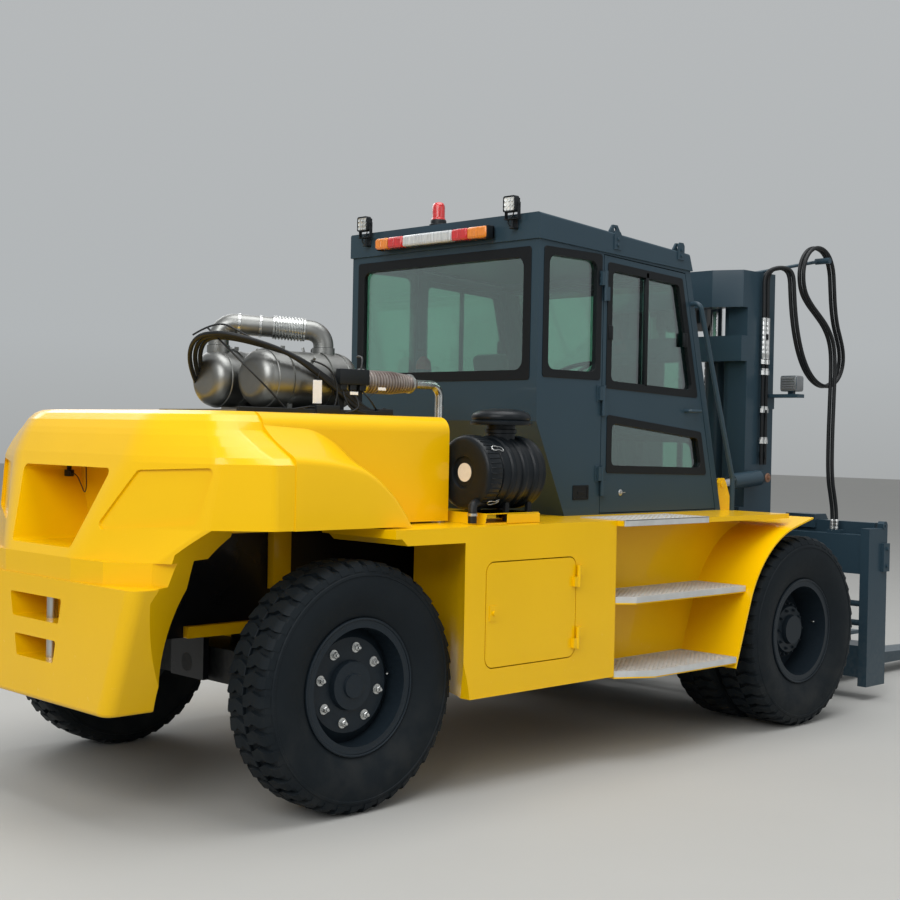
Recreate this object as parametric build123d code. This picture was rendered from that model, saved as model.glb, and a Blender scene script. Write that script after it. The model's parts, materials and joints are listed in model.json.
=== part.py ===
from build123d import *
import math
import os

# Heavy counterbalance forklift for containers, wide fork carriage, two stage mast.
# Millimetres. X forward, Y to the left, Z up. The origin is on the ground under
# the middle of the overall box. "Right" is -Y, the side with the air cleaner.
# Rear pieces are placed from the steer axle, front pieces from the drive axle.

os.makedirs("parts", exist_ok=True)

# Overall stations
rear_overhang = 1110.0
wheelbase = 3654.0
post_x = (1136.0, 1396.0)
fork_clear = 6.0
fork_t = 90.0
fork_face = post_x[1] + fork_clear + fork_t
fork_length = 2400.0
overall_length = rear_overhang + wheelbase + fork_face + fork_length
steer_x = -overall_length / 2 + rear_overhang
drive_x = steer_x + wheelbase

# Tyres and rims
tyre_r = 620.0
tyre_section = 315.0
tread_width = 270.0
bead_r = 305.0
flange_r = 334.0
rim_width = 240.0
rim_wall = 14.0
fit = 0.3
axle_z = tyre_r
steer_track_half = 1045.0
outer_rail_half = 660.0
mast_tyre_gap = 65.5
twin_spacing = 360.0
drive_outer_half = outer_rail_half + mast_tyre_gap + tyre_section / 2 + twin_spacing
lug_depth = 24.0
lug_count = 42
lug_width = 60.0
lug_gap = 5.0

# Steer axle and knuckles
kingpin_half = 800.0
kingpin_r = 32.0
eye_r = 75.0
eye_height = 140.0
spindle_r = 45.0
steer_beam_width = 300.0
steer_beam_height = 180.0

# Drive axle
axle_tube_r = 140.0
diff_r = 220.0
stub_r = 75.0

# Chassis
pocket_low = 1285.0
spine_half = 290.0
spine_plate = 40.0
spine_z = (800.0, 1359.7)
spine_step = (600.0, pocket_low - 45.0)
rail_half = 600.0
rail_plate = 40.0
rail_z = (560.0, 1359.7)
rail_step_z = 800.0
spine_end = 1290.0
deck_z = 1390.0
deck_plate = 30.0
deck_half = 719.7
deck_edge = 1330.0

# Side boxes, behind the front wheels
box_face = 1285.0
box_inner = 720.0
box_front = 1810.0
box_low = 500.0
box_wall = 12.0
box_arch = ((150.0, 1345.0), (460.0, 980.0), (642.0, box_low))
swing_r = 765.0
door_gap = 6.0
box_door_x = (745.0, 1465.0)
box_door_z = (645.0, 1205.0)
box_door_t = 20.0
box_door_corner = 60.0
box_hinge_z = (785.0, 1125.0)

# Steps
step_wall_half = 985.0
step_plate = 8.0
tread_t = 35.0
tread_rows = (
    # top height, half-width of the outer edge, set-in of the rear end
    (530.0, 1410.0, 220.0),
    (955.0, 1360.0, 100.0),
)

# Fenders over the drive wheels
fender_r = 705.0
fender_t = 10.0
fender_outer = 1410.0
fender_inner = 790.0
fender_arc = (160.0, 104.0)
fender_tail = 430.0
fender_tip = 215.0

# Hood and counterweight, from the steer axle
hood_low = 1400.0
hood_top = 1955.0
hood_half = 950.0
hood_round = 80.0
hood_wall = 30.0
hood_x = (-450.0, 790.0)
bulge_half = 1200.0
bulge_line = (
    # station, height of the shoulder crease, height of the scoop's root on the hood's wall
    (hood_x[0], 1735.0, 1865.0), (-150.0, 1702.0, 1850.0), (0.0, 1655.0, 1785.0),
    (110.0, 1578.0, 1690.0), (200.0, 1490.0, 1570.0), (255.0, 1422.0, 1444.0),
)
shoulder_edge = 30.0
ballast_low = 520.0
ledge_z = 1130.0
neck_z = 1240.0
arch_r = 850.0
arch_flare_r = 1100.0
arch_inner_half = 700.0
arch_outer_half = 860.0
pocket_z = (pocket_low, pocket_low + 386.0)
pocket_half = (285.0, 423.0)
pocket_depth = 480.0
slot_rows = (
    # low height, high height, half-width at the low and at the high edge
    (721.0, 830.0, 179.0, 203.0),
    (916.0, 1037.0, 224.0, 252.0),
)
slot_depth = 220.0
tow_pin_r = 28.0
ballast_rows = (
    # height, rear x, rear half-width, corner x, corner half-width, side x, side half-width,
    # half-width where the hood begins
    (neck_z, -1103.0, 330.0, -930.0, 790.0, -620.0, 1180.0, bulge_half),
    (1400.0, -1046.0, 425.0, -800.0, 980.0, -560.0, 1196.0, bulge_half),
    (1705.0, -940.0, 548.0, -760.0, 1008.0, -560.0, 1188.0, bulge_half),
    (1735.0, -930.0, 552.0, -752.0, 1000.0, -560.0, 1150.0, bulge_half - shoulder_edge),
    (1785.0, -908.0, 558.0, -735.0, 978.0, -575.0, 1062.0, 1078.0),
    (1835.0, -885.0, 562.0, -715.0, 948.0, -590.0, 988.0, 994.0),
    (1865.0, -868.0, 563.0, -700.0, 925.0, -600.0, 952.0, hood_half),
    (1905.0, -840.0, 560.0, -690.0, 890.0, -590.0, 922.0, 933.0),
    (1937.0, -800.0, 552.0, -672.0, 852.0, -575.0, 888.0, 905.0),
    (hood_top, -745.0, 540.0, -650.0, 805.0, -560.0, 852.0, hood_half - hood_round),
)
ballast_rounds = (400.0, 120.0, 60.0)
ballast_corner_r = 70.0
ballast_edge_r = 25.0
panel_outline = (
    # half-width and height of the recessed corner panel
    (420.0, 1378.0), (606.0, 1668.0), (1003.0, 1688.0), (935.0, 1428.0),
)
panel_depth = 14.0
panel_round = 28.0

# Exhaust, from the steer axle
over_pipe_r = 52.0
over_pipe_z = 2432.0
light_bar_half = 494.0
light_bar_z = (3032.0, 3112.0)

# Cab, from the drive axle
cab_half = 830.0
cab_wall = 50.0
cab_floor_t = 30.0
roof_rear = (-2042.0, 3168.0)
roof_front = (-602.0, 3066.0)
eave_rear_z = 3014.0
eave_front = (-576.0, 2958.0)
roof_lug_x = (-1345.0, -700.0)
roof_lug_hole_r = 13.0
cab_bottom_front = -181.0
cab_bottom_rear = -1777.0
cab_knee_z = 1950.0
glass_t = 8.0
front_pane_half = 700.0
front_pane_rows = ((1960.0, 2880.0), (1500.0, 1880.0))
rear_window = (736.0, 2225.0, 2940.0)
side_window_x = (-1989.0, -1484.0)
side_window_z = (2222.0, 2965.0)
cab_door_hinge = -1449.0
cab_door_low = 1402.0
cab_door_top = (2975.0, 2935.0)
cab_hinge_z = (1640.0, 2130.0, 2830.0)
cab_door_t = 45.0
pillar = 62.0
hinge_r = 11.0

# Mast, from the drive axle
mast_pivot = (246.0, 500.0)
pivot_pin_r = 45.0
outer_rail_x = (346.0, 686.0)
outer_rail_web = 30.0
outer_flange = (outer_rail_half - 160.0, 30.0)
mast_z = (300.0, 3060.0)
inner_rail_x = (391.0, 641.0)
inner_rail_y = (outer_rail_half - 220.0, outer_rail_half - 60.0)
inner_flange_t = 25.0
inner_web_y = (outer_rail_half - 130.0, outer_rail_half - 105.0)
inner_z = (345.0, 3040.0)
head_low = inner_z[1] - 120.0
lift_x = 516.0
lift_y = 280.0
lift_barrel_r = 75.0
lift_bore_r = 50.0
lift_rod_r = 45.0
lift_stroke = 1500.0
chain_y = 120.0
chain_wheel_r = 110.0
chain_wheel_z = inner_z[1] - 270.0
chain_width = 50.0
chain_t = 24.0
chain_anchor_z = chain_wheel_z - 250.0

# Carriage and forks, from the drive axle
post_y = (1130.0, 1200.0)
post_z = (100.0, 1240.0)
upper_beam = ((1146.0, 1266.0), (910.0, 1190.0))
lower_beam = ((1146.0, 1396.0), (162.0, 390.0))
front_bar = ((1326.0, 1396.0), (1060.0, 1275.0))
plate_y = (outer_rail_half - 275.0, outer_rail_half - 235.0)
plate_z = (380.0, 1240.0)
carriage_anchor_z = plate_z[1] - 60.0
plate_back = 430.0
roller_r = 90.0
fork_y = 530.0
fork_width = 250.0
fork_low = 85.0

# Tilt cylinders, from the drive axle
tilt_y = outer_rail_half + 70.0
tilt_mast_pin = (446.0, 1600.0)
tilt_base_pin = (-100.0, 1560.0)
tilt_barrel_r = 55.0
tilt_rod_r = 32.0
tilt_pin_r = 22.0

# Hoses, from the drive axle. They leave two pipe ends on the mast, sag forward,
# climb over the arm on the inner mast, loop back and drop to the carriage.
hose_r = 14.0
hose_pitch = 34.0
pipe_x = (551.0, 505.0)
pipe_y = outer_rail_half + 30.0
pipe_top = 2735.0
hose_block = ((1190.0, 1262.0), (-930.0, -820.0), (1190.0, 1215.0))
hose_rest_r = 22.0
hose_rest = (955.0, -845.0, 3168.0)
hose_route = (
    # x, y of the first hose, height
    (551, -690, 2870), (547, -687, 3046), (582, -719, 3094), (630, -762, 3096),
    (664, -792, 3050), (676, -793, 2905), (702, -792, 2750), (749, -790, 2600),
    (822, -786, 2460), (935, -778, 2345), (1083, -768, 2276), (1225, -762, 2268),
    (1335, -766, 2318), (1385, -776, 2415), (1368, -790, 2520), (1303, -806, 2615),
    (1218, -822, 2715), (1160, -835, 2840), (1128, -843, 2985), (1100, -850, 3125),
    (1030, -850, 3228), (915, -850, 3266), (798, -850, 3240), (718, -847, 3152),
    (700, -845, 3035), (742, -839, 2925), (832, -838, 2845), (945, -838, 2776),
    (1058, -838, 2700), (1143, -838, 2596), (1173, -838, 2450), (1165, -838, 2170),
    (1155, -838, 1880), (1160, -838, 1600), (1205, -842, 1440), (1226, -845, 1330),
)


def block(x, y, z):
    """A box from three (low, high) pairs."""
    size = [span[1] - span[0] for span in (x, y, z)]
    middle = [(span[1] + span[0]) / 2 for span in (x, y, z)]
    return Pos(*middle) * Box(*size)


def outline(points):
    return make_face(Polyline(*points, close=True))


def side_prism(points, y):
    """Extrudes an (x, z) outline over the (low, high) pair y."""
    face = Plane.XZ.offset(-y[1]) * outline(points)
    return extrude(face, amount=y[1] - y[0], dir=(0, -1, 0))


def front_prism(points, x):
    """Extrudes a (y, z) outline over the (low, high) pair x."""
    face = Plane.YZ.offset(x[0]) * outline(points)
    return extrude(face, amount=x[1] - x[0], dir=(1, 0, 0))


def plan_prism(points, z):
    """Extrudes an (x, y) outline over the (low, high) pair z."""
    face = Plane.XY.offset(z[0]) * outline(points)
    return extrude(face, amount=z[1] - z[0], dir=(0, 0, 1))


def shaft_x(y, z, r, x):
    return Pos((x[0] + x[1]) / 2, y, z) * Rot(0, 90, 0) * Cylinder(r, x[1] - x[0])


def shaft_y(x, z, r, y):
    return Pos(x, (y[0] + y[1]) / 2, z) * Rot(90, 0, 0) * Cylinder(r, y[1] - y[0])


def shaft_z(x, y, r, z):
    return Pos(x, y, (z[0] + z[1]) / 2) * Cylinder(r, z[1] - z[0])


def rod_between(a, b, r):
    """A round bar from point a to point b."""
    line = Line(a, b)
    return extrude(Plane(origin=a, z_dir=line % 0) * Circle(r), amount=line.length)


def pipe(points, radii, r):
    """A round tube body along straight runs joined by tangent arcs."""
    path = FilletPolyline(*points, radius=radii)
    return sweep(Plane(origin=path @ 0, z_dir=path % 0) * Circle(r), path=path)


def other_side(shape):
    return mirror(shape, about=Plane.XZ)


def both_sides(shape):
    return Compound(children=[*shape.solids(), *other_side(shape).solids()])


def spun_y(profile, x, z, y):
    """Revolves a (radius, offset along Y) profile about the line through (x, z)."""
    face = Plane.XY * make_face(Polyline(*profile, close=True))
    solid = revolve(face, axis=Axis.Y)
    return Pos(x, y, z) * solid


def hinge_leaves(x, face, heights, half, way):
    """Half of each hinge: knuckles on one axis with leaves that reach along way in x."""
    y = face - hinge_r - 5
    shape = None
    for z in heights:
        knuckle = shaft_z(x, y, hinge_r, (z - half, z + half))
        leaf = (z - half + 3, z + half - 3)
        knuckle += block(sorted((x, x + way * 38)), (y - 5, y + 5), leaf)
        knuckle += block(sorted((x + way * 20, x + way * 38)), (y - 5, face + 0.5), leaf)
        shape = knuckle if shape is None else shape + knuckle
    return shape


parts = {}


# Wheels. Profiles are (radius, offset from the middle plane of the tyre)
def casing(crown_r):
    """The tyre's body of revolution about Y, up to a crown radius."""
    bead = rim_width / 2 - rim_wall
    half = tyre_section / 2
    wall_r = (bead_r + tyre_r) / 2
    shoulder_r = tyre_r - lug_depth
    seat = bead_r + fit
    lines = [
        Line((seat, -bead), (seat, bead)),
        Line((seat, bead), (flange_r, bead)),
        ThreePointArc((flange_r, bead), (wall_r, half), (shoulder_r, tread_width / 2 + 8)),
        Line((shoulder_r, tread_width / 2 + 8), (crown_r, tread_width / 2 - 20)),
        Line((crown_r, tread_width / 2 - 20), (crown_r, -tread_width / 2 + 20)),
        Line((crown_r, -tread_width / 2 + 20), (shoulder_r, -tread_width / 2 - 8)),
        ThreePointArc((shoulder_r, -tread_width / 2 - 8), (wall_r, -half), (flange_r, -bead)),
        Line((flange_r, -bead), (seat, -bead)),
    ]
    return revolve(make_face(lines), axis=Axis.Y)


def tyre_at_origin():
    """A tyre with two staggered rows of lugs standing out to the tyre's radius."""
    shoulder_r = tyre_r - lug_depth
    body = casing(shoulder_r + 4)
    crown = casing(tyre_r)
    span = (shoulder_r - 12, tyre_r + 5)
    lugs = []
    for row, side in enumerate((-1, 1)):
        y = sorted((side * lug_gap, side * (tread_width / 2 + 6)))
        lug = crown & block(span, y, (-lug_width / 2, lug_width / 2))
        for k in range(lug_count):
            turn = 360 / lug_count * (k + row / 2)
            lugs += (Rot(0, turn, 0) * lug).solids()
    return (body + lugs).solids()[0]


def rim_barrel(inner_r):
    """Barrel profile of one rim, flange to flange."""
    half = rim_width / 2
    inner = bead_r - rim_wall
    return [
        (inner, -half), (flange_r, -half), (flange_r, -half + rim_wall - fit),
        (bead_r, -half + rim_wall - fit), (bead_r, half - rim_wall + fit),
        (flange_r, half - rim_wall + fit), (flange_r, half), (inner, half),
    ]


def steer_rim(y):
    """Rim, disc and hub of a rear wheel, outboard towards -Y."""
    barrel = spun_y(rim_barrel(bead_r), steer_x, axle_z, y)
    disc_y = y - rim_width / 2 + 85
    disc = [
        (bead_r - rim_wall - 1, disc_y + 70), (bead_r - rim_wall + 6, disc_y + 70),
        (bead_r - rim_wall + 6, disc_y + 50), (235, disc_y + 2), (235, disc_y - 0),
        (125, disc_y), (118, disc_y - 30), (62, disc_y - 34), (58, disc_y - 46),
        (1, disc_y - 46), (1, disc_y - 20), (spindle_r + 1, disc_y - 20),
        (spindle_r + 1, disc_y + 110), (110, disc_y + 110), (110, disc_y + 22),
        (228, disc_y + 22),
    ]
    return barrel + spun_y(disc, steer_x, axle_z, 0)


def drive_rim(outer_y):
    """Both rims of a twin wheel with their hub drum, outboard towards -Y."""
    inner_y = outer_y + twin_spacing
    shape = spun_y(rim_barrel(bead_r), drive_x, axle_z, outer_y)
    shape += spun_y(rim_barrel(bead_r), drive_x, axle_z, inner_y)
    disc_y = outer_y + rim_width / 2 - 30
    rim_in = bead_r - rim_wall
    bore = stub_r + 1
    hub = [
        (rim_in + 6, disc_y), (rim_in + 6, disc_y + 16), (205, disc_y + 16),
        (205, inner_y - rim_width / 2 + 20), (rim_in + 6, inner_y - rim_width / 2 + 20),
        (rim_in + 6, inner_y - rim_width / 2 + 36), (190, inner_y - rim_width / 2 + 36),
        (190, inner_y + rim_width / 2 - 30), (bore, inner_y + rim_width / 2 - 30),
        (bore, outer_y - 5), (1, outer_y - 5), (1, outer_y - 60), (92, outer_y - 60),
        (98, outer_y - 30), (150, outer_y - 26), (160, outer_y - 8),
        (160, outer_y + 12), (178, outer_y + 16), (186, disc_y),
    ]
    return shape + spun_y(hub, drive_x, axle_z, 0)


def build_wheels():
    tyre = tyre_at_origin()
    parts["steer_tyre_right"] = Pos(steer_x, -steer_track_half, axle_z) * tyre
    parts["steer_rim_right"] = steer_rim(-steer_track_half)
    twin = [Pos(drive_x, -drive_outer_half + k * twin_spacing, axle_z) * tyre for k in (0, 1)]
    parts["drive_tyres_right"] = Compound(children=twin)
    parts["drive_rims_right"] = drive_rim(-drive_outer_half)
    for name in ("steer_tyre", "steer_rim", "drive_tyres", "drive_rims"):
        parts[name + "_left"] = other_side(parts[name + "_right"])


# Axles
def build_axles():
    half_x = steer_beam_width / 2
    neck = eye_r - 8
    beam = plan_prism(
        [(steer_x - half_x, -kingpin_half + 240), (steer_x - neck, -kingpin_half + 90),
         (steer_x - neck, -kingpin_half), (steer_x + neck, -kingpin_half),
         (steer_x + neck, -kingpin_half + 90), (steer_x + half_x, -kingpin_half + 240),
         (steer_x + half_x, 0), (steer_x - half_x, 0)],
        (axle_z - eye_height / 2, axle_z + eye_height / 2))
    beam += block((steer_x - half_x, steer_x + half_x), (-kingpin_half + 260, 0),
                  (axle_z - steer_beam_height / 2, axle_z + steer_beam_height / 2))
    beam += shaft_z(steer_x, -kingpin_half, eye_r,
                    (axle_z - eye_height / 2, axle_z + eye_height / 2))
    beam -= shaft_z(steer_x, -kingpin_half, kingpin_r + fit, (axle_z - 200, axle_z + 200))
    beam = beam + other_side(beam)
    beam += shaft_x(0, axle_z, 50, (steer_x - 215, steer_x + 215))
    parts["steer_axle"] = beam

    arm_r = 65
    gap = 8
    low = axle_z - eye_height / 2 - gap
    high = axle_z + eye_height / 2 + gap
    plate = (-kingpin_half - 118, -kingpin_half - eye_r - 12)
    knuckle = shaft_z(steer_x, -kingpin_half, kingpin_r, (low - 60, high + 60))
    for span in ((low - 55, low), (high, high + 55)):
        knuckle += shaft_z(steer_x, -kingpin_half, arm_r, span)
        knuckle += block((steer_x - arm_r, steer_x + arm_r), (plate[0], -kingpin_half), span)
    knuckle += block((steer_x - 80, steer_x + 80), plate, (low - 55, high + 55))
    knuckle += shaft_y(steer_x, axle_z, spindle_r, (-steer_track_half - 40, plate[1] - 5))
    parts["knuckle_right"] = knuckle
    parts["knuckle_left"] = other_side(knuckle)

    inner_rim = drive_outer_half - twin_spacing - rim_width / 2
    axle = shaft_y(drive_x, axle_z, axle_tube_r, (-inner_rim + 70, inner_rim - 70))
    axle += Pos(drive_x, 0, axle_z) * Sphere(diff_r)
    axle += shaft_x(0, axle_z, 120, (drive_x - 330, drive_x))
    stub = drive_outer_half - 3
    axle += shaft_y(drive_x, axle_z, stub_r, (-stub, stub))
    for side in (-1, 1):
        middle = side * 500
        axle += block((drive_x - 130, drive_x + 130), (middle - 70, middle + 70),
                      (axle_z + 60, rail_step_z))
        for y in ((outer_rail_half - 145, outer_rail_half - 115),
                  (outer_rail_half + 30, outer_rail_half + 52)):
            lug_y = (side * y[0], side * y[1]) if side > 0 else (-y[1], -y[0])
            lug = side_prism(
                [(drive_x - 60, 500), (drive_x, 470), (drive_x + mast_pivot[0] - 10, 430),
                 (drive_x + mast_pivot[0] + 60, 455), (drive_x + mast_pivot[0] + 60, 545),
                 (drive_x + mast_pivot[0] - 10, 580), (drive_x + 60, 740),
                 (drive_x - 60, 740)], lug_y)
            axle += lug
        ends = (outer_rail_half - 145, outer_rail_half + 62) if side > 0 else (
            -outer_rail_half - 62, -outer_rail_half + 145)
        axle += shaft_y(drive_x + mast_pivot[0], mast_pivot[1], pivot_pin_r, ends)
    parts["drive_axle"] = axle


# Frame
def build_frame():
    spine = (steer_x - 830, steer_x + spine_end)
    front = drive_x + 70
    mid = drive_x - 520
    shape = None
    for side in (-1, 1):
        y = sorted((side * (spine_half - spine_plate), side * spine_half))
        plate = side_prism(
            [(spine[0], spine_z[0]), (spine[1], spine_z[0]), (spine[1], spine_z[1]),
             (steer_x - spine_step[0], spine_z[1]), (steer_x - spine_step[0], spine_step[1]),
             (spine[0], spine_step[1])], y)
        shape = plate if shape is None else shape + plate
        y = sorted((side * (rail_half - rail_plate), side * rail_half))
        x0 = steer_x + spine_end - 40
        shape += side_prism(
            [(x0, rail_z[0]), (mid, rail_z[0]), (mid + 200, rail_step_z),
             (front, rail_step_z), (front, rail_z[1]), (x0, rail_z[1])], y)
    cross = (-spine_half, spine_half)
    for x in (-830, -420, 900):
        shape += block((steer_x + x, steer_x + x + 30), cross, (spine_z[0], spine_z[1] - 150))
    wide = (-rail_half, rail_half)
    shape += block((steer_x + spine_end - 40, steer_x + spine_end), wide, (620, rail_z[1]))
    for x in (-1300, -640):
        shape += block((drive_x + x, drive_x + x + 40), wide, (700, rail_z[1] - 60))
    shape += block((drive_x + 20, drive_x + 60), wide, (1000, rail_z[1] - 5))
    for x in (-215, 180):
        bearing = block((steer_x + x, steer_x + x + 35), (-150, 150), (540, spine_z[0] + 60))
        bearing += block((steer_x + x, steer_x + x + 35), cross, (spine_z[0], spine_z[0] + 60))
        bearing -= shaft_x(0, axle_z, 50 + fit, (steer_x + x - 5, steer_x + x + 40))
        shape += bearing
    base = (drive_x + tilt_base_pin[0], tilt_base_pin[1])
    for side in (-1, 1):
        for y in ((tilt_y - 56, tilt_y - 38), (tilt_y + 38, tilt_y + 56)):
            span = sorted((side * y[0], side * y[1]))
            shape += side_prism(
                [(base[0] - 62, deck_z - 1), (base[0] + 130, deck_z - 1),
                 (base[0] + 45, base[1] + 10), (base[0] + 20, base[1] + 42),
                 (base[0] - 25, base[1] + 42), (base[0] - 45, base[1] + 10)], span)
        foot = sorted((side * (rail_half - rail_plate), side * (tilt_y + 56)))
        shape += block((base[0] - 62, base[0] + 130), foot, (rail_z[1] - 60, deck_z))
        pin = sorted((side * (tilt_y - 62), side * (tilt_y + 62)))
        shape += shaft_y(base[0], base[1], tilt_pin_r, pin)
    parts["frame"] = shape


# Counterweight and hood
def ballast_section(row, inset):
    """One level of the rounded rear body, drawn a little inside its skin by inset."""
    z, xr, wr, xc, wc, xs, ws, we = row
    end = steer_x + hood_x[0]
    near = [(xs + inset, ws - inset), (xc + inset, wc - inset), (xr + inset, wr)]
    half = [(end, we - inset)] + [(steer_x + x, y) for x, y in near]
    points = half + [(x, -y) for x, y in reversed(half)]
    rounds = list(reversed(ballast_rounds))
    rim = FilletPolyline(*points, radius=rounds + rounds[::-1])
    return Plane.XY.offset(z) * make_face([*rim.edges(), Line(points[-1], points[0])])


def ballast_body(inset):
    levels = [ballast_section(row, inset) for row in ballast_rows]
    body = None
    for low, high in zip(levels, levels[1:]):
        layer = loft([low, high], ruled=True)
        body = layer if body is None else body + layer
    return body


def build_counterweight():
    upper = ballast_body(0)
    lining = ballast_body(panel_depth)
    panels = None
    for side in (-1, 1):
        panel = front_prism([(side * y, z) for y, z in panel_outline],
                            (steer_x - rear_overhang - 50, steer_x + hood_x[0] - 150))
        panel = fillet(panel.edges().filter_by(Axis.X), panel_round)
        panels = panel if panels is None else panels + panel
    upper -= panels - lining

    def slab(z, half, front):
        points = [(-steer_span, -half), (-steer_span, half), (front, half), (front, -half)]
        return Plane.XY.offset(z) * outline([(steer_x + x, y) for x, y in points])

    steer_span = rear_overhang
    lower = loft([slab(ballast_low, 650, -700), slab(ledge_z, 885, -700)], ruled=True)
    rear = steer_x - rear_overhang
    upright = lower.edges().filter_by(lambda e: e.center().X < rear + 1 and abs(e.center().Y) > 600)
    lower = fillet(upright, ballast_corner_r)
    under = lower.edges().group_by(Axis.Z)[0].filter_by(lambda e: e.center().X < rear + 200)
    lower = fillet(under, ballast_edge_r)
    neck = plan_prism(
        [(steer_x - x, y) for x, y in
         ((1103, 320), (1072, 560), (940, 770), (700, 900), (700, -900), (940, -770),
          (1072, -560), (1103, -320))], (ledge_z, neck_z))
    body = upper + lower + neck

    arch = shaft_y(steer_x, axle_z, arch_r, (-1300, 1300))
    for side in (-1, 1):
        depth = arch_outer_half - arch_inner_half
        cone = Cone(arch_r, arch_flare_r, depth)
        turn = Rot(90 * side, 0, 0) * cone
        middle = side * -1 * (arch_inner_half + arch_outer_half) / 2
        arch += Pos(steer_x, middle, axle_z) * turn
        rim = sorted((side * -1 * arch_outer_half, side * -1 * 1300))
        arch += shaft_y(steer_x, axle_z, arch_flare_r, rim)
    arch = arch & block((steer_x - 1300, steer_x), (-1300, 1300), (0, hood_low))
    body -= arch
    for back, top in ((835, spine_step[1] + 6), (spine_step[0] + 6, hood_low)):
        body -= block((steer_x - back, steer_x), (-spine_half - 6, spine_half + 6), (0, top))

    deep = (steer_x - rear_overhang - 50, steer_x - rear_overhang + pocket_depth)
    pocket = front_prism(
        [(-pocket_half[0], pocket_z[0]), (pocket_half[0], pocket_z[0]),
         (pocket_half[1], pocket_z[1]), (-pocket_half[1], pocket_z[1])], deep)
    body -= fillet(pocket.edges().filter_by(Axis.X), 28)
    for z0, z1, w0, w1 in slot_rows:
        slot = front_prism([(-w0, z0), (w0, z0), (w1, z1), (-w1, z1)],
                           (deep[0], steer_x - rear_overhang + slot_depth))
        body -= fillet(slot.edges().filter_by(Axis.X), 14)
    pin_x = steer_x - rear_overhang + 95
    pin_z = (slot_rows[0][0] - 40, slot_rows[1][1] + 30)
    body -= shaft_z(pin_x, 0, tow_pin_r + fit, pin_z)
    parts["counterweight"] = body
    pin = shaft_z(pin_x, 0, tow_pin_r, (pin_z[0], pin_z[1] - 5))
    parts["tow_pin"] = pin


def shoulder_section(x, crease, rise):
    """Section across the right bulge: side wall, rounded crease and the scoop above it."""
    root = -hood_half + 60
    rim = -bulge_half + shoulder_edge
    knee = ((-hood_half + rim) / 2 - 30, crease + 0.31 * (rise - crease))
    foot = hood_low
    lines = [
        Line((root, foot), (root, rise)), Line((root, rise), (-hood_half, rise)),
        ThreePointArc((-hood_half, rise), knee, (rim, crease)),
        Line((rim, crease), (-bulge_half, crease - shoulder_edge / 2)),
        Line((-bulge_half, crease - shoulder_edge / 2), (-bulge_half, foot)),
        Line((-bulge_half, foot), (root, foot)),
    ]
    return Plane.YZ.offset(steer_x + x) * make_face(lines)


def build_hood():
    x = (steer_x + hood_x[0], steer_x + hood_x[1])
    core = block(x, (-hood_half, hood_half), (hood_low, hood_top))
    core = fillet(core.edges().filter_by(Axis.X).group_by(Axis.Z)[-1], hood_round)
    levels = [shoulder_section(*station) for station in bulge_line]
    for low, high in zip(levels, levels[1:]):
        layer = loft([low, high], ruled=True)
        core = core + layer + other_side(layer)
    hollow = block((x[0] + hood_wall, x[1] - hood_wall),
                   (-hood_half + hood_wall, hood_half - hood_wall),
                   (hood_low - 1, hood_top - hood_wall))
    for side in (-1, 1):
        y = sorted((side * (hood_half - 100), side * (bulge_half - hood_wall)))
        hollow += block((x[0] + hood_wall, steer_x - 40), y,
                        (hood_low - 1, bulge_line[2][1] - hood_wall))
    parts["hood"] = core - hollow
    parts["engine"] = block((steer_x - 350, steer_x + hood_x[1] - 60), (-spine_half + 55, spine_half - 55),
                            (860, 1700))


# Deck, side boxes, steps and fenders
def build_deck():
    hole = (steer_x - 400, steer_x + 800)
    shape = block((steer_x + hood_x[0], drive_x + 60), (-deck_half, deck_half),
                  (deck_z - deck_plate, deck_z))
    shape -= block(hole, (-spine_half, spine_half), (deck_z - 100, deck_z + 10))
    shape += block((steer_x + box_front + 2, drive_x - 130), (-deck_edge, deck_edge),
                   (deck_z - deck_plate, deck_z))
    base = drive_x + tilt_base_pin[0]
    for side in (-1, 1):
        foot = sorted((side * (rail_half - rail_plate - 2), side * (tilt_y + 58)))
        shape -= block((base - 64, base + 132), foot, (deck_z - 100, deck_z + 10))
    parts["deck"] = shape


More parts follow.
